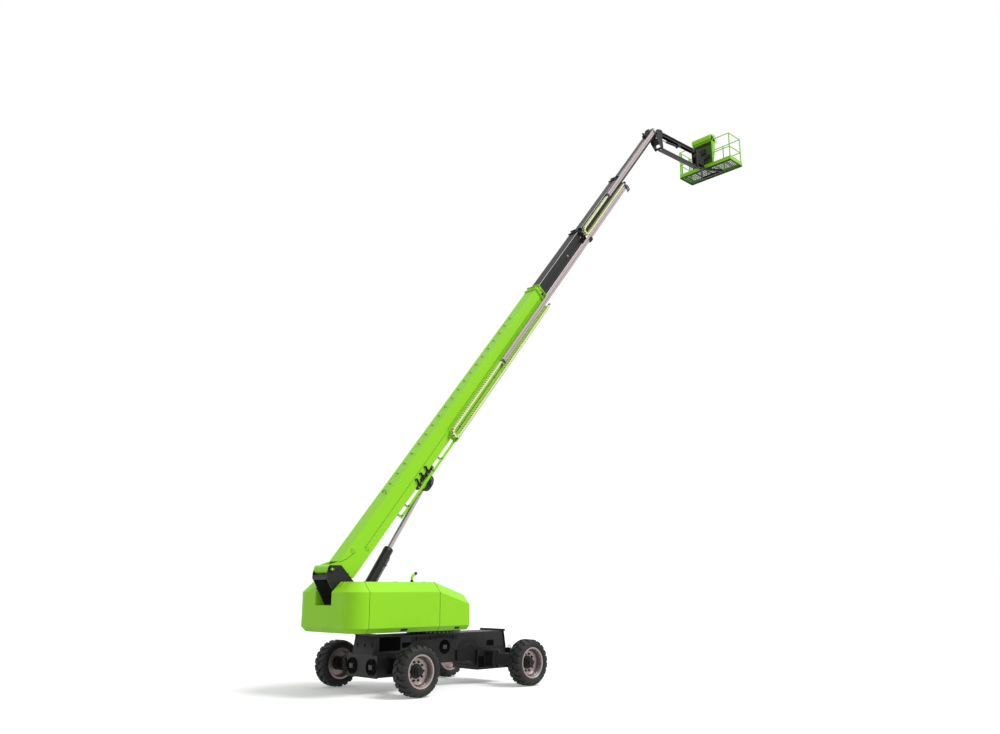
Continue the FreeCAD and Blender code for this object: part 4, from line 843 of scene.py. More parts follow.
class BOOMLIFT_OT_boom(bpy.types.Operator):
    """Fit the boom's lifting ears, seams, covers, collars' bolts and wear pads"""
    bl_idname = "boomlift.boom"
    bl_label = "Boom"

    def execute(self, context):
        self.top_ears()
        self.seams()
        self.root_covers()
        self.collars()
        self.chain_rail()
        self.girder_lines()
        self.manifold()
        self.tube_clamps()
        self.chain_anchors()
        self.fly_fittings()
        self.tip_fittings()
        return {"FINISHED"}

    def top_ears(self):
        """A row of small bent ears along the top of the base section, and a guide."""
        ear = pipe(circle(0.052, steps(7, math.pi / 6), 0.036), 0.007)
        places = [at(on_boom(2.90 + 0.37 * index, 0.02, BASE_TOP)) @ BOOM_TURN
                  @ Matrix.Rotation(math.radians(78), 4, "Z") for index in range(20)]
        guide = boom_pipe([(along, side, BASE_TOP + up) for along, side, up in (
            (2.52, -0.14, 0.0), (2.58, -0.10, 0.02), (2.68, 0.04, 0.03), (2.66, 0.10, 0.02),
            (2.60, 0.10, 0.0))], 0.007)
        fit("top_ears", "seam", "boom_base", [stamp(ear, places), guide])

    def seams(self):
        """The weld seam along each side near the root, a dark strip of painted shade where each
        side meets the lower chamfer further up, and a bead along both top corners.
        """
        seams = []
        for left in (-1, 1):
            # Near the root a weld seam; from 5.25 on, a dark strip that paints the shade line where
            # the side meets the lower chamfer.
            for low, high, start, end, face in ((-0.450, -0.442, 1.05, 5.10, 0.2294),
                                                (-0.4125, -0.4045, 5.25, 11.35, 0.2254)):
                outline = [(start, low), (end, low), (end, high), (start, high)]
                seams.append(plate(outline, 0.003, matrix=BOOM @ at((0, left * face - 0.0015, 0))))
        fit("side_seam_and_shade_strips", "seam", "boom_base", seams)
        fit("corner_beads", "green", "boom_base", [
            boom_pipe([(along, side, BASE_TOP - 0.001) for along in (0.45, 11.36)], 0.006, False)
            for side in (-0.222, 0.222)])

    def root_covers(self):
        """Oval hand-hole covers and hose loops on the root plates."""
        covers, screws, ribs = [], [], []
        oval = circle(0.055, steps(16, math.tau / 16), 0.085)
        for left in (-1, 1):
            for along, up in ((0.75, -0.23), (1.07, -0.50)):
                covers.append(plate([(along + x, up + z) for x, _, z in oval], 0.006, 0.002,
                                    BOOM @ at((0, left * 0.232 - 0.003, 0))))
                screws += [(on_boom(along, left * 0.235, up + step), (0, left, 0))
                           for step in (-0.062, 0.062)]
            ribs.append(boom_pipe([(along, left * 0.229, up) for along, up in (
                (0.294, -0.09), (0.44, -0.19), (0.60, -0.255), (0.76, -0.257))], 0.006))
        fit("root_covers", "dimmed_green", "boom_base", covers)
        fit("root_seams", "seam", "boom_base", ribs)
        bolts("root_screws", "boom_base", screws, 0.014, 0.006)
        loop = pipe([(0.0, 0, 0.0), (0.0, 0, -0.05), (0.05, 0, -0.075), (0.10, 0, -0.05),
                     (0.10, 0, 0.0)], 0.006)
        fit("clip_loops", "chain", "boom_base", [
            stamp(loop, [BOOM @ at((along, -0.18, -0.665)) for along in (1.35, 1.58, 1.83)])])

    def collars(self):
        """Wear-pad boxes and their bolts between the two flanges of each head."""
        for name, head in HEADS.items():
            half, top, low = SECTIONS[name]
            start, middle, end = head - 0.165, head - 0.095, head - 0.025
            screws, pads = [], []
            for side in (-1, 1):
                face = side * (half + 0.030)
                for up in (top - 0.10, (top + low) / 2 - 0.02, low + 0.22):
                    pads.append(((start, side * half, up - 0.05), (end, face, up + 0.05)))
                    screws += [(on_boom(middle, face, up + step), (0, side, 0))
                               for step in (-0.025, 0.025)]
                pads.append(((start, side * half * 0.35, top),
                             (end, side * half * 0.85, top + 0.030)))
                screws += [(on_boom(middle, side * half * share, top + 0.030), NORMAL)
                           for share in (0.5, 0.7)]
            paint = "green" if name == "boom_base" else "black"
            fit(name + "_pad_boxes", paint, name, blocks(pads, matrix=BOOM))
            bolts(name + "_pad_bolts", name, screws)

    def chain_rail(self):
        """The rail under the first chain and the arms that carry it."""
        rail = blocks([
            ((2.30, -0.276, -0.793), (5.14, -0.270, -0.735)),
            ((2.30, -0.312, -0.793), (5.14, -0.270, -0.788)),
            ((5.12, -0.276, -0.793), (11.27, -0.270, -0.690)),
            ((5.12, -0.386, -0.793), (11.27, -0.270, -0.788)),
            ((5.12, -0.386, -0.793), (11.27, -0.381, -0.772)),
        ], 0.0015, BOOM)
        rail += [beam(on_boom(along, -0.272, -0.760), on_boom(along, -0.190, -0.560), 0.012, 0.045)
                 for along in RAIL_CLAMPS]
        fit("chain_rail", "green", "boom_base", rail, "chain_tray")
        # The web takes the dimmed green: painted shade where the chain's shadow falls on it.
        fit("chain_rail_web", "dimmed_green", "boom_base", blocks(
            [((5.10, -0.277, -0.700), (11.27, -0.271, -0.545))], 0.0015, BOOM))
        fit("chain_rail_line", "seam", "boom_base", [
            boom_pipe([(along, -0.281, -0.655) for along in (5.40, 11.1)], 0.008, False)])
        bolts("chain_rail_bolts", "boom_base", [
            (on_boom(along, -0.277, up), TO_RIGHT) for along in RAIL_CLAMPS
            for up in (-0.641, -0.672)], 0.026, 0.009)

    def girder_lines(self):
        """Hooks that hold the rail, and pipes along the girder's foot."""
        fit("rail_hooks", "seam", "boom_base", [
            boom_pipe([(along + step, side, up) for side, up in (
                (-0.145, -0.660), (-0.165, -0.745), (-0.225, -0.795), (-0.274, -0.780),
                (-0.282, -0.735))], 0.011)
            for along in (2.36, 2.70, 3.98, 4.44) for step in (0.0, 0.035)])
        fit("girder_lines", "dimmed_green", "boom_base", [
            boom_pipe([(2.1, side, -0.684), (3.0, side, -0.684), (3.2, side - 0.02, -0.690)], 0.009)
            for side in (-0.11, -0.14, -0.17)])

    def manifold(self):
        """The holding-valve block, its unions and the short pipes at the lift cylinder's eye."""
        fit("holding_valves", "seam", "boom_base", blocks([
            ((3.26, -0.262, -0.735), (3.50, -0.178, -0.650)),
            ((3.52, -0.270, -0.700), (3.70, -0.190, -0.600)),
            ((3.74, -0.262, -0.720), (3.92, -0.200, -0.625)),
            ((3.98, -0.250, -0.740), (4.10, -0.200, -0.655)),
        ], 0.006, BOOM))
        bends = [boom_pipe([
            (along - 0.04, side, -0.70), (along + 0.01, side - 0.02, -0.62),
            (along + 0.05, side - 0.03, -0.51), (along + 0.02, side, -0.48),
            (along - 0.03, -0.20, -0.54), (along - 0.09, -0.20, -0.62)], 0.015)
                 for along in (3.40, 3.62, 3.86) for side in (-0.250, -0.215)]
        bends += [boom_pipe([(along, step - 0.255, up) for along, up in (
            (3.84 - step, -0.79), (3.86 - step, -0.90), (3.72 - step, -0.985 + step),
            (3.50, -0.99 + step), (3.40, -0.92), (3.38, -0.80))], 0.022)
                  for step in (0.0, 0.035, 0.07)]
        fit("valve_lines", "seam", "boom_base", bends)
        bolts("valve_unions", "boom_base", [
            (on_boom(along, -0.262, -0.69), TO_RIGHT) for along in (3.31, 3.45, 3.80, 4.04)],
              0.040, 0.024)
        cap = turned([(0.0, 0.0), (0.075, 0.0), (0.075, 0.010), (0.060, 0.016), (0.0, 0.016)], 24)
        fit("eye_pin_caps", "seam", "boom_base", [
            stamp(cap, [round_at(on_boom(3.67, side * 0.170, -0.935), (0, side, 0))
                        for side in (1, -1)])])

    def tube_clamps(self):
        """Clamps that pair the push tubes, and a rail on each tube."""
        for name, body, low, high, places in (
                ("tube_one_clamps", "boom_fly_two", -0.654, -0.496, (8.33, 18.30)),
                ("tube_two_clamps", "boom_fly_three", -0.289, -0.131, (17.14, 21.86))):
            fit(name, "black", body, blocks([
                ((along - 0.03, -0.374, low), (along + 0.03, -0.286, high)) for along in places],
                0.006, BOOM))
        for name, body, start, end, up in (
                ("push_rail_one", "boom_fly_two", 8.30, 18.15, -0.512),
                ("push_rail_two", "boom_fly_three", 17.16, 21.95, -0.144)):
            long = end - start
            rail = turned([(0.0, 0.0), (0.026, 0.0), (0.032, 0.006), (0.032, long - 0.006),
                           (0.026, long), (0.0, long)], 20)
            fit(name, "steel", body, [move(rail, BOOM @ at((start, CHAIN_Y, up))
                                           @ Matrix.Rotation(-math.pi / 2, 4, "Z"))])
        bolts("tube_bolts", "boom_fly_two", [
            (on_boom(along, -0.374, up), TO_RIGHT)
            for along in (8.29, 18.30) for up in (-0.515, -0.635)], 0.022)

    def chain_anchors(self):
        """The carriers at the fixed ends of the chains, and the web behind the second."""
        fit("chain_one_anchor", "chain", "boom_base", blocks(
            [((11.36, -0.380, -0.782), (11.42, -0.280, -0.724))], 0.006, BOOM))
        fit("chain_two_web", "seam", "boom_fly_two", blocks([
            ((14.95, -0.2797, -0.368), (18.34, -0.2776, -0.242)),
            ((18.20, -0.284, -0.372), (18.34, -0.140, -0.360))], 0.001, BOOM))
        ends = blocks([((18.28, -0.386, -0.464), (18.42, -0.274, -0.398)),
                       ((18.34, -0.290, -0.452), (18.40, -0.140, -0.420))], 0.006, BOOM)
        ends += [boom_pipe([(along, -0.33, -0.46), (along + 0.05, -0.355, -0.56),
                            (along + 0.03, -0.385, -0.68), (along - 0.02, -0.385, -0.76)], 0.018)
                 for along in (18.22, 18.30, 18.38)]
        fit("chain_two_anchor", "black", "boom_fly_two", ends)

    def fly_fittings(self):
        """Chain bracket, knobs, and light grey strips that paint a highlight along the fly
        sections' top corners.
        """
        fit("fly_one_bracket", "seam", "boom_fly_one", [
            *blocks([((14.80, -0.284, -0.668), (14.90, -0.150, -0.560))], 0.006, BOOM),
            *blocks([((14.80, -0.412, -0.672), (14.98, -0.280, -0.656))], 0.004, BOOM),
            *blocks([((14.86, -0.412, -0.662), (14.98, -0.386, -0.540))], 0.006, BOOM)])
        knob = turned([(0.0, 0.0), (0.036, 0.0), (0.036, 0.009), (0.028, 0.015),
                       (0.018, 0.019), (0.0, 0.020)], 20)
        fit("fly_one_knobs", "steel", "boom_fly_one", [
            stamp(knob, [round_at(on_boom(along, -0.186, up), TO_RIGHT)
                         for along, up in ((13.62, -0.36), (14.72, -0.34))])])
        # Light grey strips along the top corners: painted highlights.
        for name, ends in HIGHLIGHT_RUNS.items():
            half, top, _ = SECTIONS[name]
            fit(name + "_edges", "edge", name, [
                boom_pipe([(along, side, top - 0.001) for along in ends], 0.008, False)
                for side in (-half + 0.003, half - 0.003)])

    def tip_fittings(self):
        """Sensor boxes and sheaves at the boom's tip."""
        parts = blocks([
            ((21.62, -0.085, -0.200), (21.90, 0.085, -0.110)),
            ((21.95, -0.070, -0.200), (22.10, 0.070, -0.080)),
            ((21.60, -0.150, -0.330), (21.72, -0.115, -0.230)),
        ], 0.006, BOOM)
        roller = [(0.0, -0.012), (0.052, -0.012), (0.058, -0.004), (0.058, 0.004),
                  (0.052, 0.012), (0.0, 0.012)]
        parts += [move(turned(roller, 20), BOOM @ at((21.78, side, -0.090)))
                  for side in (-0.07, 0.07)]
        fit("tip_boxes", "black", "boom_fly_three", parts)
        bolts("tip_bolts", "boom_fly_three", [
            (on_boom(21.66 + 0.10 * index, side, -0.110), NORMAL)
            for index in range(3) for side in (-0.045, 0.045)], 0.02, 0.01)


# ---------------------------------------------------------------- chassis and turntable

UP, DOWN = (0, 0, 1), (0, 0, -1)
SIDES = (("left", 1), ("right", -1))


class BOOMLIFT_OT_chassis(bpy.types.Operator):
    """Add covers, lips, bolts and pipes to the chassis"""
    bl_idname = "boomlift.chassis"
    bl_label = "Chassis"

    def execute(self, context):
        self.round_covers()
        self.side_shields()
        self.end_lips()
        self.slew_bolts()
        self.frame_plates()
        self.frame_lines()
        self.tow_eyes()
        self.arm_fittings()
        return {"FINISHED"}

    def round_covers(self):
        rim = turned([(0.150, 0.0), (0.194, 0.0), (0.194, 0.004), (0.186, 0.012),
                      (0.158, 0.012), (0.150, 0.004)])
        dish = turned([(0.0, 0.0), (0.151, 0.0), (0.151, 0.003), (0.0, 0.003)])
        plug = block((-0.055, -0.002, -0.070), (0.055, 0.014, 0.070), 0.012, 2)
        ends = [(machine(ahead * 2.265, left * 0.400, 0.610), (ahead, 0, 0))
                for ahead in (1, -1) for left in (1, -1)]
        places = [round_at(*end) for end in ends]
        places += [round_at(machine(0.04, left * 0.421, 0.985), (0, left, 0))
                   @ Matrix.Scale(0.92, 4) for left in (1, -1)]
        # The rims and dishes are near-black: painted shade of the round openings, each with a grey
        # plug.
        fit("cover_rims", "shade_black", "chassis", [stamp(rim, places)])
        fit("cover_dishes", "shade_black", "chassis", [stamp(dish, places)])
        fit("cover_plugs", "plug", "chassis", [stamp(plug, places)])
        ring = circle(0.172, steps(8, math.tau / 8, math.tau / 16))
        bolts("cover_bolts", "chassis", [
            (place + Vector((normal[0] * 0.011, side, up)), normal)
            for place, normal in ends for side, _, up in ring], 0.016, 0.006, "hub")

    def side_shields(self):
        """Round-topped shields that cover each front and rear axle arm's swing cylinder."""
        outline = [(x, z) for x, _, z in circle(0.37, steps(15, math.pi / 14))]
        outline += [(-0.37, -0.20), (0.37, -0.20)]
        ring = circle(0.20, steps(11, math.pi / 10))
        pieces = []
        for ahead in (1, -1):
            for left in (1, -1):
                centre = machine(ahead * 0.86, left * 0.420, 0.820)
                inwards = Vector((0, -0.012 if left < 0 else 0, 0))
                pieces.append(plate(outline, 0.012, 0.003, at(centre + inwards)))
                pieces.append(move(pipe(ring, 0.009), at(centre + Vector((0, left * 0.014, 0)))))
        fit("side_shields", "seam", "chassis", pieces)

    def end_lips(self):
        """End plates that stand proud of the frame, and the ribs that brace them."""
        pieces = []
        for ahead in (1, -1):
            face = ahead * 2.128
            pieces.append(beam(machine(face, -0.500, 1.343), machine(face, 0.500, 1.343),
                               0.022, 0.055))
            pieces += [beam(machine(face, side, 1.345), machine(ahead * 2.205, side, 0.90),
                            0.026, 0.030) for side in (-0.434, 0.434)]
            pieces += [move(block((-0.012, -0.010, -0.12), (0.012, 0.010, 0.12)),
                            at(machine(ahead * 2.195, side, 1.02))) for side in (-0.30, 0.0, 0.30)]
        fit("end_lips", "hub", "chassis", pieces)

    def slew_bolts(self):
        outwards = [Vector((x, z, 0)) for x, _, z in circle(1, steps(40, math.tau / 40))]
        bolts("slew_bolts", "chassis", [(machine(0, 0, 1.365) + out * 0.700, out)
                                        for out in outwards], 0.026, 0.012)

    def frame_plates(self):
        """Near-black plates of painted shade over the frame's openings and recesses, and brackets
        along the frame.
        """
        corners = [((-2.04, 0.418, 0.96), (-1.40, 0.424, 1.29)),
                   ((-1.34, 0.418, 1.02), (-1.08, 0.428, 1.14)),
                   ((1.52, 0.418, 0.95), (1.78, 0.424, 1.10)),
                   ((-1.36, 0.484, 0.42), (-1.16, 0.494, 0.70)),
                   ((1.16, 0.484, 0.42), (1.36, 0.494, 0.70))]
        corners += [((x, 0.418, 0.62), (x + 0.014, 0.452, 0.90))
                    for x in (-1.24, -0.55, 0.42, 1.26)]
        fit("frame_plates", "shade_black", "chassis", [
            piece for left in (1, -1) for piece in blocks(corners, 0.003, mirrored(left))])

    def frame_lines(self):
        """Three pipes along each side of the frame, in clips."""
        clips = [((x, 0.418, 1.165), (x + 0.03, 0.448, 1.262)) for x in (-0.9, -0.45, 0.3)]
        lines = []
        for left in (1, -1):
            for level in (1.24, 1.212, 1.184):
                lines.append(pipe([machine(x, left * side, level + rise) for x, side, rise in (
                    (-1.05, 0.432, 0), (-0.30, 0.434, 0), (-0.18, 0.434, 0.03),
                    (0.10, 0.434, 0.03), (0.20, 0.434, 0), (0.52, 0.432, 0))], 0.008))
            lines += blocks(clips, matrix=mirrored(left))
        fit("frame_lines", "seam", "chassis", lines)

    def tow_eyes(self):
        loop = circle(0.045, steps(9, 4.3 / 8, -0.6))
        fit("tow_eyes", "hub", "chassis", [
            move(pipe(loop, 0.011), at(machine(ahead * 2.235, left * 0.56, 0.90)))
            for ahead in (1, -1) for left in (1, -1)])

    def arm_fittings(self):
        """Pin caps and bolts at each axle arm, and ribs on the knuckles."""
        for corner in CORNERS:
            pin, king, wheel = [joint_place(joint + corner) for joint in (
                "axle_swing_", "steering_", "wheel_spin_")]
            cap = turned([(0.0, 0.0), (0.070, 0.0), (0.070, 0.010), (0.058, 0.018), (0.0, 0.018)],
                         20)
            fit("swing_cap_" + corner, "hub", "chassis",
                [stamp_copy(cap, round_at((pin.x, pin.y, 0.846), UP))])
            bolts("swing_bolts_" + corner, "chassis",
                  flat_ring(pin.x, pin.y, 0.846, 0.100, (0.4, 1.97, 3.54, 5.11)), 0.022, 0.010)
            body = "steer_" + corner
            fit("king_caps_" + corner, "hub", body, [
                stamp(cap, [round_at((king.x, king.y, 0.742), UP),
                            round_at((king.x, king.y, 0.413), DOWN)])])
            out = 1 if wheel.y > 0 else -1
            fit("knuckle_ribs_" + corner, "hub", body, [
                beam((king.x + step, king.y + out * 0.04, wheel.z + 0.10),
                     (wheel.x + step, wheel.y - out * 0.20, wheel.z + 0.07), 0.016, 0.05)
                for step in (-0.10, 0.10)])


class BOOMLIFT_OT_turntable(bpy.types.Operator):
    """Add latches, hinges, lifting rings, mast caps and the exhaust's elbow"""
    bl_idname = "boomlift.turntable"
    bl_label = "Turntable"

    def execute(self, context):
        for side, left in SIDES:
            self.latch("side_cover_" + side, left, -1.90, 0.20, 3)
            self.latch("front_cover_" + side, left, -0.226, 0.15, 2)
            self.cover_lines(side, left)
            self.lifting_ring(side, left)
        self.mast_fittings()
        self.exhaust_elbow()
        self.engine_fittings()
        self.tank_fittings()
        return {"FINISHED"}

    def latch(self, cover, left, place_x, long, count):
        """A latch with its grips on the lower chamfer of a cover."""
        middles = [long * ((index + 0.5) / count - 0.5) for index in range(count)]
        parts = [block((-long / 2, -0.034, 0.0), (long / 2, 0.034, 0.010))]
        parts += blocks([((middle - 0.022, -0.024, 0.006), (middle + 0.022, 0.024, 0.020))
                         for middle in middles], 0.005)
        stand = facing(machine(place_x, left * 1.190, 1.489), (0, left * 0.7071, -0.7071))
        fit("latch_" + cover, "seam", cover, [move(join(parts), stand)])

    def cover_lines(self, side, left):
        """The hinges along the top, and the joints between the covers."""
        fit("cover_hinges_" + side, "seam", "turntable", [
            pipe([machine(x, left * 0.724, 2.600), machine(x + 0.12, left * 0.724, 2.600)],
                 0.009, False) for x in (-2.80, -1.90, -1.00)])
        fit("cover_joints_" + side, "seam", "turntable", [
            pipe([machine(x, left * y, z) for y, z in (
                (0.740, 2.597), (1.003, 2.597), (1.242, 2.358), (1.242, 1.546), (1.130, 1.434))],
                 0.0055, False) for x in (-2.960, -0.830)])

    def lifting_ring(self, side, left):
        """A lifting eye in a dished seat at a top corner of the counterweight."""
        stand = machine(-3.235, left * 0.49, 2.545), (-0.7071, 0, 0.7071)
        seat = turned([(0.0, 0.0), (0.070, 0.0), (0.070, 0.010), (0.055, 0.010),
                       (0.045, 0.003), (0.0, 0.003)], 28)
        fit("lifting_seat_" + side, "green", "turntable", [move(seat, round_at(*stand))])
        bow = pipe(circle(0.030, steps(9, math.pi / 8)), 0.007)
        fit("lifting_bow_" + side, "bolt", "turntable", [move(bow, facing(*stand))])

    def mast_fittings(self):
        pin_caps("boom_pin", "turntable", PIVOT, 0.335, 0.075)
        dot = turned([(0.0, 0.0), (0.030, 0.0), (0.028, 0.004), (0.0, 0.004)], 18)
        fit("boom_pin_dots", "green", "turntable", [
            stamp(dot, [round_at(PIVOT + Vector((0, side * 0.349, 0)), (0, side, 0))
                        for side in (1, -1)])])
        rings = [move(turned([(radius * 0.5, 0.0), (radius, 0.0), (radius, 0.006),
                              (radius * 0.5, 0.006)], 18),
                      round_at(machine(x, left * 0.320, z), (0, left, 0)))
                 for left in (1, -1) for x, z, radius in (
                     (-3.257, 2.887, 0.034), (-2.965, 2.790, 0.024), (-2.905, 2.700, 0.024))]
        fit("mast_rings", "hub", "turntable", rings)
        bolts("mast_bolts", "turntable", [
            (machine(x, left * 0.320, z), (0, left, 0)) for left in (1, -1)
            for x, z in ((-3.10, 2.60), (-3.04, 2.53), (-3.40, 2.44), (-3.30, 2.44))],
              0.034, 0.016, "hub")
        fit("mast_tie_plate", "plate", "turntable", blocks(
            [((-0.008, -0.288, -0.055), (0.030, 0.288, 0.035))], 0.006,
            at(machine(-3.545, 0, 2.705))))

    def exhaust_elbow(self):
        line = [machine(x, -0.677, z) for x, z in (
            (-1.290, 2.55), (-1.290, 2.66), (-1.285, 2.730), (-1.245, 2.775), (-1.200, 2.800))]
        fit("exhaust_elbow", "green", "turntable", [pipe(line, 0.030, True, 3)], "exhaust_pipe")
        mouth = [machine(-1.215, -0.677, 2.790), machine(-1.150, -0.677, 2.822)]
        fit("exhaust_cuff", "seam", "turntable", [pipe(mouth, 0.036, False, 3)])
        foot = turned([(0.028, 0.0), (0.060, 0.0), (0.060, 0.008), (0.036, 0.014),
                       (0.034, 0.05), (0.028, 0.05)], 24)
        fit("exhaust_foot", "seam", "turntable",
            [move(foot, round_at(machine(-1.290, -0.677, 2.600), UP))])

    def engine_fittings(self):
        """Fins, rocker covers and pulleys on the engine."""
        low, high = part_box("engine_block")
        near, far, foot, top = low[1], high[1], low[2], high[2]
        fins = blocks([((x, near - 0.006, foot + 0.12), (x + 0.05, near + 0.01, top - 0.10))
                       for x in steps(9, 0.125, low[0] + 0.10)])
        heads = [block((x, near + 0.06, top - 0.01), (x + 0.19, far - 0.05, top + 0.05), 0.012, 2)
                 for x in steps(4, 0.27, low[0] + 0.18)]
        fit("engine_ribs", "engine", "turntable", fins + heads)
        pulley = turned([(0.0, 0.0), (0.11, 0.0), (0.11, 0.012), (0.095, 0.02), (0.11, 0.028),
                         (0.11, 0.04), (0.03, 0.04), (0.0, 0.04)], 28)
        fit("engine_pulleys", "bolt", "turntable", [
            stamp(pulley, [round_at((high[0], (near + far) / 2, foot + up), (1, 0, 0))
                           for up in (0.22, 0.50)])])

    def tank_fittings(self):
        """Filler caps and straps on the hydraulic tank."""
        low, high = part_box("hydraulic_tank")
        long = high[0] - low[0]
        cap = turned([(0.0, 0.0), (0.055, 0.0), (0.055, 0.03), (0.045, 0.045), (0.0, 0.045)], 24)
        fit("tank_caps", "bolt", "turntable", [
            stamp(cap, [round_at((low[0] + share * long, (low[1] + high[1]) / 2, high[2]), UP)
                        for share in (0.2, 0.75)])])
        fit("tank_straps", "black", "turntable", blocks([
            ((x, low[1] - 0.004, low[2] + 0.01), (x + 0.05, high[1] + 0.004, high[2] + 0.004))
            for x in [low[0] + share * long for share in (0.12, 0.5, 0.84)]], 0.003))


# ---------------------------------------------------------------- cylinders and jib

TIP = on_boom(22.290, 0, -0.420)
JIB = TIP + Vector((0.335, 0, 0.180))
LINK = JIB + Vector((0.020, 0, -0.680))
JIB_TURN = Matrix.Rotation(-math.radians(2.4), 4, "Y")
JIB_REACH = JIB_TURN @ Vector((2.580, 0, 0))
ON_JIB = at(JIB) @ JIB_TURN
ROTATOR_X = (JIB + JIB_REACH).x + 0.465


class BOOMLIFT_OT_cylinders(bpy.types.Operator):
    """Add glands to the lift and jib cylinders, and pipes, clips and an eye bush to the lift
    cylinder
    """
    bl_idname = "boomlift.cylinders"
    bl_label = "Cylinders"

    def execute(self, context):
        foot = machine(-2.730, 0, 1.600)
        self.gland("lift", foot, 2.180, 0.125, 0.067)
        self.gland("jib", joint_place("jib_barrel_pivot"), 0.810, 0.045, 0.027)
        lines = [pipe([(along, side, up) for along, up in (
            (0.12, -0.110), (0.16, -0.136), (0.30, -0.136), (1.90, -0.136), (1.98, -0.136),
            (2.02, -0.110))], 0.012) for side in (-0.045, 0.045)]
        lines += blocks([((along, -0.07, -0.150), (along + 0.04, 0.07, -0.112))
                         for along in (0.55, 1.15, 1.75)])
        stand = axes_at(foot, JOINTS["lift_rod_slide"]["axis"], (0, 1, 0))
        fit("lift_lines", "dark_green_and_shade", "lift_barrel", [move(line, stand) for line in lines])
        bush = turned([(0.050, -0.119), (0.074, -0.119), (0.078, -0.114), (0.078, 0.114),
                       (0.074, 0.119), (0.050, 0.119)])
        fit("lift_eye_bush", "black", "lift_rod", [move(bush, at(on_boom(3.670, 0, -0.935)))])
        return {"FINISHED"}

    def gland(self, name, foot, reach, radius, bore):
        """The screwed ring at a barrel's mouth and its wiper."""
        proud = radius * 1.03
        rings = [turned([(proud * 0.9, reach - 0.11), (proud, reach - 0.105),
                         (proud, reach - 0.03), (proud * 0.95, reach - 0.018),
                         (proud * 0.9, reach - 0.018)]),
                 turned([(bore, reach - 0.002), (radius * 0.97, reach - 0.002),
                         (radius * 0.97, reach + 0.012), (radius * 0.80, reach + 0.020),
                         (bore, reach + 0.020)])]
        stand = axes_at(foot, JOINTS[name + "_rod_slide"]["axis"], (0, 1, 0))
        stand = stand @ Matrix.Rotation(-math.pi / 2, 4, "Z")
        fit(name + "_gland", "hub", name + "_barrel", [move(ring, stand) for ring in rings])


class BOOMLIFT_OT_jib(bpy.types.Operator):
    """Add pins, plates, pipes and the rotator to the jib"""
    bl_idname = "boomlift.jib"
    bl_label = "Jib"

    def execute(self, context):
        for name, body, place, half, radius in (
                ("tip_pin", "tip_bracket", TIP, 0.180, 0.050),
                ("jib_pin", "tip_bracket", JIB, 0.168, 0.042),
                ("link_pin", "tip_bracket", LINK, 0.168, 0.042),
                ("jib_end_pin", "platform_bracket", JIB + JIB_REACH, 0.116, 0.042),
                ("link_end_pin", "platform_bracket", LINK + JIB_REACH, 0.116, 0.042)):
            pin_caps(name, body, place, half, radius)
        self.jib_lines()
        self.jib_plates()
        self.tip_webs()
        self.rotator()
        return {"FINISHED"}

    def jib_lines(self):
        lines = [move(pipe([(along, side, up) for along, up in (
            (0.10, -0.02), (0.30, 0.02), (0.60, 0.02), (2.10, 0.02), (2.24, 0.01),
            (2.32, -0.03))], 0.008), ON_JIB) for side in (-0.088, -0.108)]
        lines += blocks([((along, -0.120, 0.0), (along + 0.03, -0.078, 0.04))
                         for along in (0.45, 0.95, 1.45, 1.95)], 0.003, ON_JIB)
        fit("jib_lines", "seam", "jib_beam", lines)

    def jib_plates(self):
        """Webs and edge beads on the jib's beam, and ties between the link's bars."""
        webs = blocks([((along, -0.084, -0.070), (along + 0.10, 0.084, 0.070))
                       for along in (0.14, 2.34)], matrix=ON_JIB)
        beads = blocks([((0.10, side - 0.003, 0.072), (2.48, side + 0.003, 0.082))
                        for side in (-0.076, 0.076)], 0.002, ON_JIB)
        fit("jib_plates", "black", "jib_beam", webs + beads)
        fit("link_ties", "black", "jib_link", blocks([
            ((along, -0.060, -0.03), (along + 0.05, 0.060, 0.03)) for along in (0.5, 1.28, 2.0)],
            0.006, at(LINK) @ JIB_TURN))

    def tip_webs(self):
        """Cross plates between the tip bracket's cheeks and a box of unions."""
        fit("tip_webs", "black", "tip_bracket", [
            beam(TIP + Vector((0.11, 0, -0.20)), TIP + Vector((0.19, 0, -0.42)), 0.296, 0.014),
            beam(TIP + Vector((0.13, 0, 0.13)), TIP + Vector((0.20, 0, 0.19)), 0.296, 0.012),
            move(block((-0.05, -0.10, -0.045), (0.05, 0.10, 0.045), 0.008),
                 at(TIP + Vector((0.18, 0, -0.33))))])

    def rotator(self):
        body = "platform_bracket"
        shell = turned([(0.0, 0.0), (0.090, 0.0), (0.098, 0.008), (0.098, 0.028), (0.060, 0.034),
                        (0.055, 0.060), (0.0, 0.060)], 28)
        fit("rotator_cap", "hub", body, [move(shell, round_at((ROTATOR_X, 0, 20.080), UP))])
        bolts("rotator_bolts", body, flat_ring(ROTATOR_X, 0, 20.080, 0.112,
                                               steps(10, math.tau / 10)), 0.018, 0.008)
        rib = turned([(0.120, -0.006), (0.130, -0.006), (0.130, 0.006), (0.120, 0.006)], 28)
        fit("rotator_ribs", "black", body, [
            stamp(rib, [round_at((ROTATOR_X, 0, level), UP) for level in (19.79, 19.91, 20.03)])])
        back = at((JIB.x + JIB_REACH.x, 0, 0))
        webs = blocks([((0.10, -0.098, 19.80), (0.114, 0.098, 20.10)),
                       ((0.05, -0.098, 19.62), (0.30, 0.098, 19.634))], matrix=back)
        box = blocks([((0.13, -0.124, 19.86), (0.28, -0.116, 20.02))], 0.003, back)
        fit("bracket_webs", "black", body, webs + box)


# ---------------------------------------------------------------- platform

FLOOR_LOW, FLOOR_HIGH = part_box("platform_floor")
REAR, FRONT = FLOOR_LOW[0], FLOOR_HIGH[0]
CONSOLE_LOW, CONSOLE_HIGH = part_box("control_console")
CONSOLE_SIDES = (CONSOLE_LOW[1], CONSOLE_HIGH[1])
CONSOLE_FACE = REAR + 0.049
HOOD = 20.97
LIP = (19.912, 19.922)
EDGE = (19.716, 19.728)


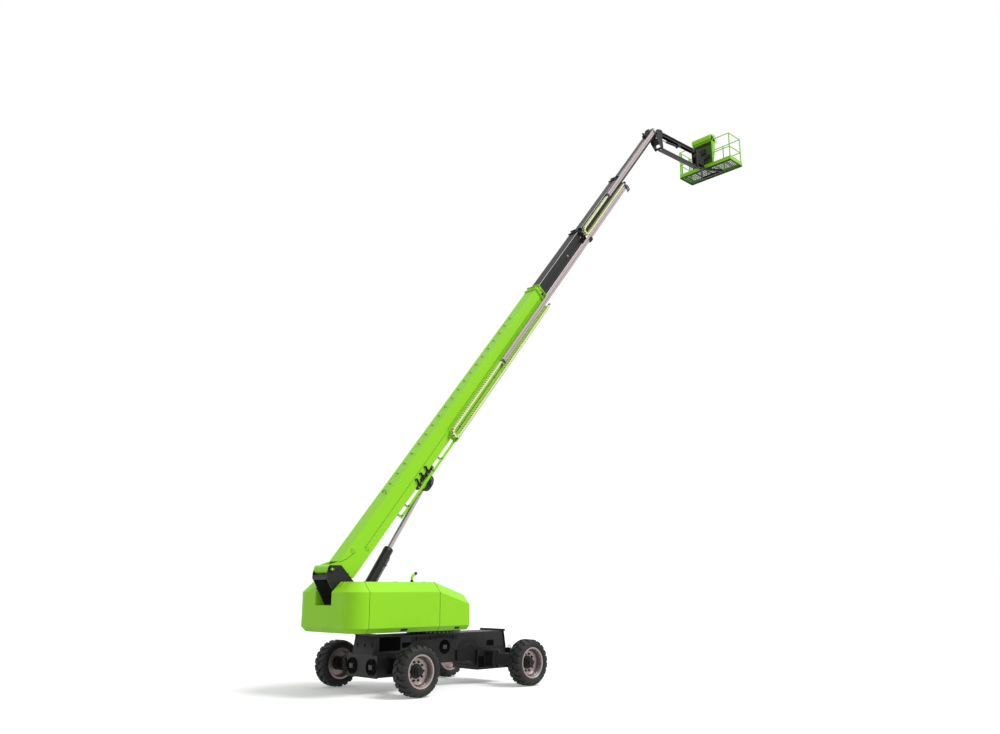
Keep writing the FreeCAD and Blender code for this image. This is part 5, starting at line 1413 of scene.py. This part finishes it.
class BOOMLIFT_OT_platform(bpy.types.Operator):
    """Add the console's panel and controls, the grating and the cage's fittings"""
    bl_idname = "boomlift.platform"
    bl_label = "Platform"

    def execute(self, context):
        self.console()
        self.hood()
        self.controls()
        self.grating()
        self.cage_fittings()
        self.gate_latch()
        self.underframe()
        return {"FINISHED"}

    def console(self):
        """The ribbed back panel in very dark green as painted shade, with the boxes and lines that
        hang on it.
        """
        face, low = CONSOLE_FACE, CONSOLE_LOW[2]
        near, far = CONSOLE_LOW[1] + 0.006, CONSOLE_HIGH[1] - 0.006
        panel = [((face - 0.012, near, low + 0.01), (face + 0.004, far, 20.925))]
        panel += [((face - 0.022, side - 0.012, low + 0.02), (face - 0.010, side + 0.012, 20.92))
                  for side in (near + 0.02, (near + far) / 2, far - 0.02)]
        fit("console_panel", "dark_green_and_shade", "platform", blocks(panel))
        # The first box is a black strip across the panel's top, under the hood: painted shade.
        boxes = blocks([((face - 0.028, near + 0.03, 20.80), (face - 0.010, far - 0.03, 20.92))])
        boxes += [block((face - deep, near + start, foot), (face - 0.010, near + end, top),
                        0.010, 2)
                  for deep, start, end, foot, top in ((0.075, 0.30, 0.56, 20.42, 20.66),
                                                      (0.060, 0.10, 0.44, 20.16, 20.34),
                                                      (0.050, 0.60, 0.80, 20.10, 20.50))]
        for index in range(4):
            start, end = near + 0.20 + 0.05 * index, near + 0.40 + 0.04 * index
            boxes.append(pipe([
                (face - 0.03, start, 20.16), (face - 0.05, start, 20.03 + 0.05 * index),
                (face - 0.04, end, 19.99), (face - 0.02, end + 0.05, 19.985)], 0.010))
        fit("console_boxes", "seam", "platform", boxes)

    def hood(self):
        """The hood's cheeks, near-black as painted shade, the beads along their edges and the guard
        rail beside it.
        """
        # Near-black cheeks: painted shade under the hood.
        fit("hood_cheeks", "shade_black", "platform", blocks([
            ((REAR + back, side - 0.004, foot), (REAR + front, side + 0.004, top))
            for back, front, foot, top in ((0.02, 0.31, 20.985, 21.14), (0.05, 0.22, 21.13, 21.22))
            for side in CONSOLE_SIDES], 0.002))
        edge = ((-0.089, 0.045), (-0.102, 0.15), (-0.065, 0.240), (0.0, 0.293), (0.130, 0.293),
                (0.245, 0.236), (0.322, 0.135), (0.332, -0.01))
        fit("hood_beads", "green", "platform", [
            pipe([(CONSOLE_FACE + ahead, side, HOOD + up) for ahead, up in edge], 0.0065, False)
            for side in (CONSOLE_SIDES[0] + 0.004, CONSOLE_SIDES[1] - 0.004)])
        guard = [(REAR + ahead, CONSOLE_LOW[1] - out, up) for ahead, out, up in (
            (0.06, 0.05, 20.97), (0.04, 0.05, 21.10), (0.07, 0.05, 21.235), (0.18, 0.05, 21.252),
            (0.32, 0.05, 21.20), (0.37, 0.05, 21.06), (0.37, 0.05, 20.90), (0.30, 0.03, 20.86))]
        fit("hood_guard", "green", "platform", [pipe(guard, 0.013)])

    def controls(self):
        """Joysticks, switches and a stop button on the hood's sloping face."""
        low, high = CONSOLE_SIDES
        turn = Matrix(((0.59, 0, -0.81), (0, 1, 0), (0.81, 0, 0.59))).transposed().to_4x4()
        slope = at((CONSOLE_FACE + 0.290, 0, HOOD + 0.188)) @ turn
        fit("panel", "seam", "platform", blocks(
            [((-0.052, low + 0.05, -0.002), (0.052, high - 0.05, 0.004))], 0.002, slope))

        def stand(row, along):
            return slope @ at((row, low + along, 0.003)) @ UPRIGHT

        stick = turned([(0.0, 0.0), (0.026, 0.0), (0.024, 0.006), (0.014, 0.012), (0.008, 0.020),
                        (0.007, 0.036), (0.013, 0.040), (0.014, 0.052), (0.009, 0.058),
                        (0.0, 0.059)], 20)
        fit("joysticks", "seam", "platform", [stamp(stick, [stand(0, 0.16), stand(0, 0.74)])])
        knob = turned([(0.0, 0.0), (0.010, 0.0), (0.010, 0.008), (0.008, 0.012), (0.0, 0.012)], 14)
        fit("switches", "bolt", "platform", [
            stamp(knob, [stand(row, 0.28 + 0.055 * index)
                         for index in range(7) for row in (-0.022, 0.022)])])
        stop = turned([(0.0, 0.0), (0.012, 0.0), (0.012, 0.010), (0.024, 0.014), (0.024, 0.022),
                       (0.016, 0.028), (0.0, 0.029)], 20)
        fit("stop_button", "red", "platform", [move(stop, stand(0, 0.085))])

    def grating(self):
        """Thin bars that divide the floor's openings, flush with its bearers, in very dark green as
        painted shade under the floor.
        """
        bar = block((REAR + 0.034, -0.003, 19.742), (FRONT - 0.034, 0.003, 19.766), 0.0010)
        fit("floor_grating", "dark_green_and_shade", "platform", [
            stamp(bar, [at((0, -1.18 + 0.0787 * index, 0)) for index in range(31)])])
        rod = block((-0.004, -1.216, 19.748), (0.004, 1.216, 19.762), 0.001)
        step = (FRONT - REAR) / 14
        fit("grating_rods", "dark_green_and_shade", "platform", [
            stamp(rod, [at((REAR + step * (2 * index + 1), 0, 0)) for index in range(7)])])

    def cage_fittings(self):
        """Feet under the corner posts, lips on the toe boards and rings for lanyards."""
        low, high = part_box("platform_rails")
        cap = turned([(0.0, 0.0), (0.040, 0.0), (0.040, 0.005), (0.026, 0.012), (0.026, 0.03),
                      (0.0, 0.03)], 16)
        fit("post_feet", "green", "platform", [
            stamp(cap, [round_at((x, y, 19.770), UP) for x in (low[0] + 0.046, high[0] - 0.046)
                        for y in (low[1] + 0.046, high[1] - 0.046)])])
        fit("toe_lips", "green", "platform", blocks([
            ((x, y, LIP[0]), (end_x, end_y, LIP[1])) for x, end_x, y, end_y in (
                (REAR, FRONT, -1.250, -1.238), (REAR, FRONT, 1.238, 1.250),
                (REAR, REAR + 0.012, -1.25, 1.25), (FRONT - 0.006, FRONT, -1.25, 1.25))], 0.002))
        loop = circle(0.024, steps(13, math.pi / 6))
        fit("lanyard_rings", "bolt", "platform", [
            move(pipe(loop, 0.005), at((high[0] - 0.06, y, 20.34))) for y in (0.6, -0.6, 0.0)])

    def gate_latch(self):
        low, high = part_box("platform_gate")
        end, face = high[0], low[1]
        fit("gate_latch", "seam", "platform_gate", [
            block((end - 0.07, face - 0.024, 20.60), (end - 0.02, face + 0.004, 20.68), 0.006),
            pipe([(end - 0.045, face - 0.02, 20.64), (end - 0.045, face - 0.05, 20.64),
                  (end - 0.10, face - 0.05, 20.64)], 0.006, False)])

    def underframe(self):
        """Channel edges below the floor, black as painted shade on its underside, and the bolts of
        its support.
        """
        corners = [((REAR, side, EDGE[0]), (FRONT, side + 0.03, EDGE[1]))
                   for side in (-1.246, 1.216)]
        corners += [((x, -1.246, EDGE[0]), (x + 0.03, 1.246, EDGE[1]))
                    for x in (REAR, FRONT - 0.03)]
        fit("floor_edges", "black", "platform", blocks(corners, 0.002))
        bolts("support_bolts", "platform", flat_ring(ROTATOR_X, 0, 19.630, 0.082,
                                                     steps(8, math.tau / 8), DOWN), 0.018, 0.008)


# ---------------------------------------------------------------- studio

class BOOMLIFT_OT_studio(bpy.types.Operator):
    """Lay the floor, hang the lights and set up the camera"""
    bl_idname = "boomlift.studio"
    bl_label = "Studio"

    def execute(self, context):
        settings = context.scene.boom_lift_studio
        self.lay_floor()
        self.hang_lights(settings)
        self.set_camera(settings)
        context.scene.view_settings.view_transform = "Standard"
        return {"FINISHED"}

    def lay_floor(self):
        bpy.ops.mesh.primitive_plane_add(size=400, location=(0, 0, -0.004))
        floor = bpy.context.object
        floor.name = "studio_floor"
        bpy.ops.object.transform_apply(location=True, rotation=True, scale=True)
        shader = Shader("Studio floor", 0.0)
        seen = shader.node("ShaderNodeLightPath", {}, {})
        glossy = Value(shader, seen.socket.node.outputs["Is Glossy Ray"])
        both = (seen + glossy).clamp()
        shader.finish(colour=shader.mix(both, (0.50, 0.50, 0.50), (0.86, 0.86, 0.86)),
                      roughness=1.0)
        shade = shader.tree.nodes.new("ShaderNodeEmission")
        shade.inputs["Color"].default_value = (1, 1, 1, 1)
        shader.feed(shade.inputs["Strength"], both * 0.24)
        total = shader.tree.nodes.new("ShaderNodeAddShader")
        output = shader.tree.nodes["Material Output"]
        shader.tree.links.new(shader.surface.outputs[0], total.inputs[0])
        shader.tree.links.new(shade.outputs[0], total.inputs[1])
        shader.tree.links.new(total.outputs[0], output.inputs["Surface"])
        floor.data.materials.append(shader.material)

    def hang_lights(self, settings):
        bpy.ops.object.light_add(type="SUN", location=(0, 0, 30))
        key = bpy.context.object
        key.name = "key_light"
        key.data.energy = settings.sun
        key.data.angle = math.radians(25)
        key.rotation_euler = (math.radians(38), 0, math.radians(28))
        world = bpy.data.worlds.new("Studio sky")
        bpy.context.scene.world = world
        world.use_nodes = True
        tree = world.node_tree
        background = tree.nodes["Background"]
        background.inputs["Color"].default_value = (1, 1, 1, 1)
        path = tree.nodes.new("ShaderNodeLightPath")
        mix = tree.nodes.new("ShaderNodeMix")
        either = tree.nodes.new("ShaderNodeMath")
        either.operation = "MAXIMUM"
        tree.links.new(path.outputs["Is Camera Ray"], either.inputs[0])
        tree.links.new(path.outputs["Is Glossy Ray"], either.inputs[1])
        tree.links.new(either.outputs[0], mix.inputs[0])
        mix.inputs[2].default_value = settings.sky
        mix.inputs[3].default_value = 1.0
        tree.links.new(mix.outputs[0], background.inputs["Strength"])

    def set_camera(self, settings):
        data = bpy.data.cameras.new("studio_camera")
        camera = bpy.data.objects.new("studio_camera", data)
        bpy.context.scene.collection.objects.link(camera)
        data.lens = settings.lens
        data.sensor_width = 36
        data.clip_end = 500
        camera.location = (SWING.x - 15.33, -18.452, 2.457)
        camera.rotation_euler = (math.radians(90 + 14.19), 0, math.radians(46.10 - 90))
        bpy.context.scene.camera = camera


class BOOMLIFT_PT_panel(bpy.types.Panel):
    """Lists the steps that finish the boom lift"""
    bl_idname = "BOOMLIFT_PT_panel"
    bl_label = "Boom Lift"
    bl_space_type = "VIEW_3D"
    bl_region_type = "UI"
    bl_category = "Boom Lift"

    def draw(self, context):
        scene = context.scene
        for settings in (scene.boom_lift_paint, scene.boom_lift_studio):
            box = self.layout.box()
            for name in settings.__annotations__:
                box.prop(settings, name)
        for step in STEPS:
            self.layout.operator(step.bl_idname)


STEPS = (BOOMLIFT_OT_paint_frame, BOOMLIFT_OT_wheels, BOOMLIFT_OT_chains,
         BOOMLIFT_OT_boom, BOOMLIFT_OT_chassis, BOOMLIFT_OT_turntable,
         BOOMLIFT_OT_cylinders, BOOMLIFT_OT_jib, BOOMLIFT_OT_platform,
         BOOMLIFT_OT_studio)
CLASSES = (PaintSettings, StudioSettings, *STEPS, BOOMLIFT_PT_panel)


def register():
    for item in CLASSES:
        bpy.utils.register_class(item)
    bpy.types.Scene.boom_lift_paint = PointerProperty(type=PaintSettings)
    bpy.types.Scene.boom_lift_studio = PointerProperty(type=StudioSettings)


def unregister():
    del bpy.types.Scene.boom_lift_studio
    del bpy.types.Scene.boom_lift_paint
    for item in reversed(CLASSES):
        bpy.utils.unregister_class(item)


def main():
    register()
    for step in STEPS:
        group, name = step.bl_idname.split(".")
        getattr(getattr(bpy.ops, group), name)()


if __name__ == "__main__":
    main()
